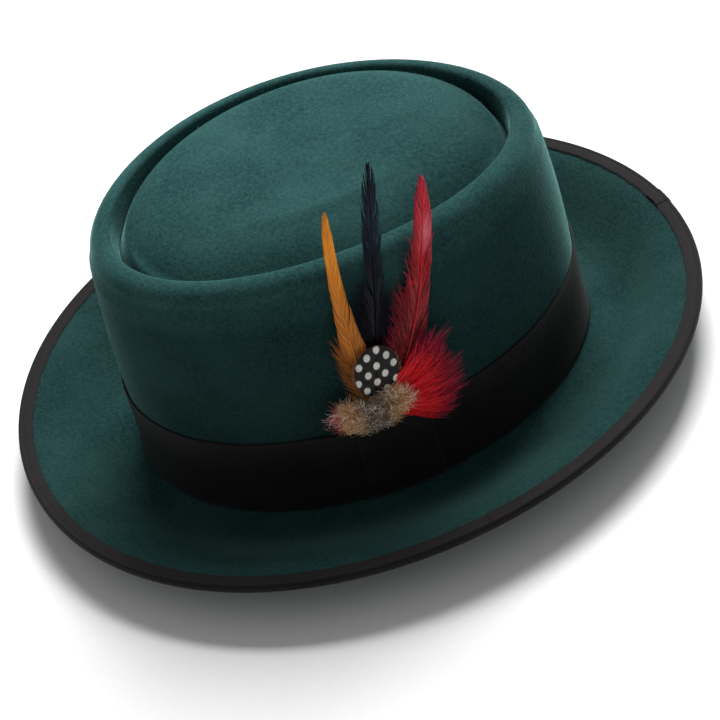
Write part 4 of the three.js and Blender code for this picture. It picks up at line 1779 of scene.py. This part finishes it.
@dataclass
class Studio:
    """Pale floor, soft lights and the camera at the photograph's viewing angle."""

    azimuth: float = math.radians(78)
    elevation: float = math.radians(38.512)
    roll: float = math.radians(-17.412)
    distance: float = 800.0
    focal_px: float = 1867.385
    frame_px: float = 720.0
    shift_right: float = 11.216
    shift_up: float = -41.176
    aim: tuple = (0.0, 0.55, 57.5)
    sensor: float = 36.0
    floor_half: float = 4.0
    sky: float = 0.28

    def add_camera(self) -> None:
        """Adds the camera and makes it the scene's own."""
        level = math.cos(self.elevation)
        east, south = math.sin(self.azimuth) * level, -math.cos(self.azimuth) * level
        back = Vector((east, south, math.sin(self.elevation)))
        right = (-back).cross(Vector((0, 0, 1))).normalized()
        up = right.cross(-back)
        cos, sin = math.cos(self.roll), math.sin(self.roll)
        across, over = right * cos + up * sin, -right * sin + up * cos
        data = bpy.data.cameras.new("camera")
        data.sensor_width = self.sensor
        data.lens = self.focal_px / self.frame_px * self.sensor
        data.clip_end = 20
        camera = bpy.data.objects.new("camera", data)
        place = Vector(self.aim) + across * self.shift_right + over * self.shift_up
        place = (place + back * self.distance) * MM
        turn = Matrix((across, over, back)).transposed().to_4x4()
        camera.matrix_world = Matrix.Translation(place) @ turn
        bpy.context.scene.collection.objects.link(camera)
        bpy.context.scene.camera = camera

    def add_floor(self, finish: StudioPaper) -> None:
        """Adds the floor, which isn't part of the hat.

        Args:
            finish: its paper.
        """
        mesh = bpy.data.meshes.new("floor")
        half = self.floor_half
        corners = [(-half, -half, 0), (half, -half, 0), (half, half, 0), (-half, half, 0)]
        mesh.from_pydata(corners, [], [(0, 1, 2, 3)])
        mesh.materials.append(finish.build())
        floor = bpy.data.objects.new("floor", mesh)
        bpy.context.scene.collection.objects.link(floor)

    def add_light(self, name: str, place: tuple, aim: tuple, size: float, power: float) -> None:
        """Adds one soft square light.

        Args:
            name: the light's name.
            place: where it stands, in metres.
            aim: the point that it faces, in metres.
            size: its side, in metres.
            power: its power, in watts.
        """
        data = bpy.data.lights.new(name, "AREA")
        data.shape = "SQUARE"
        data.size = size
        data.energy = power
        light = bpy.data.objects.new(name, data)
        facing = Vector(aim) - Vector(place)
        light.rotation_euler = facing.to_track_quat("-Z", "Y").to_euler()
        light.location = place
        bpy.context.scene.collection.objects.link(light)

    def add_sky(self, strength: float) -> None:
        """Adds even light from all round.

        Args:
            strength: its strength.
        """
        world = bpy.data.worlds.new("studio_air")
        world.use_nodes = True
        world.node_tree.nodes.clear()
        add = partial(add_node, world.node_tree)
        glow = add("Background", {"Color": (1, 1, 1, 1), "Strength": strength})
        add("OutputWorld", {"Surface": glow})
        bpy.context.scene.world = world

    def build(self) -> None:
        """Builds the studio."""
        bpy.context.scene.view_settings.view_transform = "Standard"
        self.add_camera()
        self.add_floor(StudioPaper())
        self.add_sky(self.sky)
        self.add_light("key", (-1.32, 0.92, 1.85), (0, 0, 0.05), 1.3, 107)


def build_plumes(form: HatForm, layers: Layers) -> None:
    """Builds the three tall feathers.

    Args:
        form: the hat's form.
        layers: the feathers' distances from the wall.
    """
    black = Plume(
        form, ("black_plume", "black_plume", "black_feather"), layers.black,
        foot=(0.048, 0.05), tip=(0.276, 1.0), bow=0.0, width=0.134, seed=11,
        rows=(
            (0, 0.1, 0.1), (0.15, 0.33, 0.27), (0.3, 0.5, 0.4), (0.48, 0.36, 0.25),
            (0.6, 0.28, 0.24), (0.75, 0.26, 0.2), (0.88, 0.23, 0.19), (0.95, 0.14, 0.16),
        ),
        vane_from=0.16, slant=(0.2, 0.12), parting=0.8, shaft_width=(1.0, 0.3),
        down=(
            (0.02, 0.42, 11.0, 420, Side.FRONT), (0.02, 0.36, 7.0, 300, Side.BACK),
        ),
        loose=((0.5, 0.72, 5.2, 46, Side.FRONT), (0.5, 0.72, 4.4, 40, Side.BACK)),
    )
    black.build(DyedBarbs(
        "feather_barbs_black_dye",
        up=(
            (0.0, "#241012"), (0.3, "#120c12"), (0.55, "#0a0c16"), (0.8, "#0a0e1c"),
            (1.0, "#080a12"),
        ),
        # The bluish patch is a painted sheen, a painted highlight.
        ends="#101a3c", ends_share=0.45, painted_sheen="#3c5470", painted_sheen_place=(0.62, 0.25, 0.74, 0.16),
        painted_sheen_share=0.4, roughness=0.42, gloss=0.12, sheen=0.0,
    ))
    red = Plume(
        form, ("red_plume", "red_plume", "red_feather"), layers.sides,
        foot=(0.08, 0.054), tip=(0.449, 0.868), bow=0.043, width=0.151, seed=13,
        rows=(
            (0, 0.07, 0.07), (0.1, 0.25, 0.14), (0.2, 0.42, 0.2), (0.35, 0.5, 0.36),
            (0.5, 0.38, 0.28), (0.65, 0.25, 0.25), (0.8, 0.25, 0.25), (0.9, 0.2, 0.2),
            (0.96, 0.12, 0.12),
        ),
        vane_from=0.12, slant=(0.17, 0.1), parting=0.45, shaft_width=(1.1, 0.3),
        down=(
            (0.02, 0.4, 12.5, 480, Side.FRONT), (0.05, 0.3, 4.0, 120, Side.BACK),
        ),
        loose=((0.4, 0.62, 8.0, 60, Side.FRONT), (0.42, 0.66, 5.0, 40, Side.BACK)),
    )
    red.build(DyedBarbs(
        "feather_barbs_red_dye",
        up=(
            (0.0, "#5c0406"), (0.2, "#6c0508"), (0.42, "#7c050a"), (0.66, "#b00818"),
            (1.0, "#c80c2c"),
        ),
        # The pink patch is a painted sheen, a painted highlight.
        ends="#700a46", ends_share=0.35, painted_sheen="#f09ab0", painted_sheen_place=(0.6, 0.2, 0.76, 0.1),
        painted_sheen_share=0.55, pale="#f03848", pale_share=0.35, roughness=0.45,
    ))
    amber = Plume(
        form, ("amber_plume", "amber_plume", "amber_feather"), layers.sides,
        foot=(0.0445, 0.059), tip=(0.072, 0.893), bow=-0.033, width=0.085, seed=17,
        rows=(
            (0, 0.12, 0.12), (0.2, 0.42, 0.45), (0.35, 0.45, 0.55), (0.5, 0.36, 0.4),
            (0.6, 0.3, 0.3), (0.78, 0.24, 0.24), (0.9, 0.2, 0.2), (0.97, 0.1, 0.1),
        ),
        vane_from=0.1, slant=(0.16, 0.08), parting=0.25, shaft_width=(0.9, 0.22),
        down=((0.0, 0.26, 8.5, 260, Side.FRONT), (0.02, 0.3, 3.0, 60, Side.BACK)),
    )
    amber.build(DyedBarbs(
        "feather_barbs_amber_dye",
        up=(
            (0.0, "#b07c48"), (0.25, "#b06414"), (0.5, "#c47006"), (0.8, "#f09408"),
            (1.0, "#e88c0c"),
        ),
        ends="#a05008", ends_share=0.3, pale="#f0b468", pale_share=0.2, vary=0.3, roughness=0.5,
    ))


def main() -> None:
    """Builds the studio and the hat's pieces in order."""
    logging.basicConfig(level=logging.INFO, format="%(name)s: %(message)s")
    Studio().build()
    form = HatForm()
    layers = Layers(form)
    body = FeltBody(form)
    nap = WoolFelt("wool_fibres_of_the_nap", deep="#2a5452", body="#3b6e6b", light="#588c87")
    body.build(WoolFelt())
    FeltNap(form, body).build(nap)
    BrimBinding(form).build(
        WovenRibbon("binding_ribbon_woven_matt", "#0f0c0c", "#1d1919", 0.9, 0.12, 0.75, 0.04)
    )
    band = RibbonBand(form)
    grosgrain = WovenRibbon("grosgrain_ribbon_woven", "#0b0b0b", "#232121", 1.1, 0.1, 0.65, 0.06)
    band.build_band(grosgrain)
    band.build_tab(grosgrain)
    band.build_tongue(WovenRibbon("buckram_stiffened", "#0c0c0c", "#181818", 1.4, 0.15, 0.85, 0.1))
    build_plumes(form, layers)
    HackleFan(form, layers).build(DyedBarbs(
        "hackle_barbs_red_dye",
        up=(
            (0.0, "#c00c12"), (0.25, "#ff1020"), (0.7, "#f80e22"), (0.88, "#c00a34"),
            (1.0, "#6a0a44"),
        ),
        ends="#8c1048", ends_from=0.8, ends_share=0.4, pale="#ff6068", pale_share=0.4, vary=0.4,
        roughness=0.5,
    ))
    SpottedFeather(form, layers).build(SpottedBarbs())
    DownTuft(form, layers).build(DyedBarbs(
        "marabou_down_natural",
        up=(
            (0.0, "#e01868"), (0.06, "#d83848"), (0.14, "#f4bc7c"), (0.3, "#e0ac70"),
            (0.42, "#82705e"), (0.6, "#6e6054"), (0.72, "#c89858"), (0.88, "#f0b878"),
            (1.0, "#e89088"),
        ),
        ends="#e8c090", ends_from=0.5, ends_share=0.35, pale="#fffaf2", pale_share=0.9,
        vary=0.5, roughness=0.7, sheen=0.2,
    ))


if __name__ == "__main__":
    main()
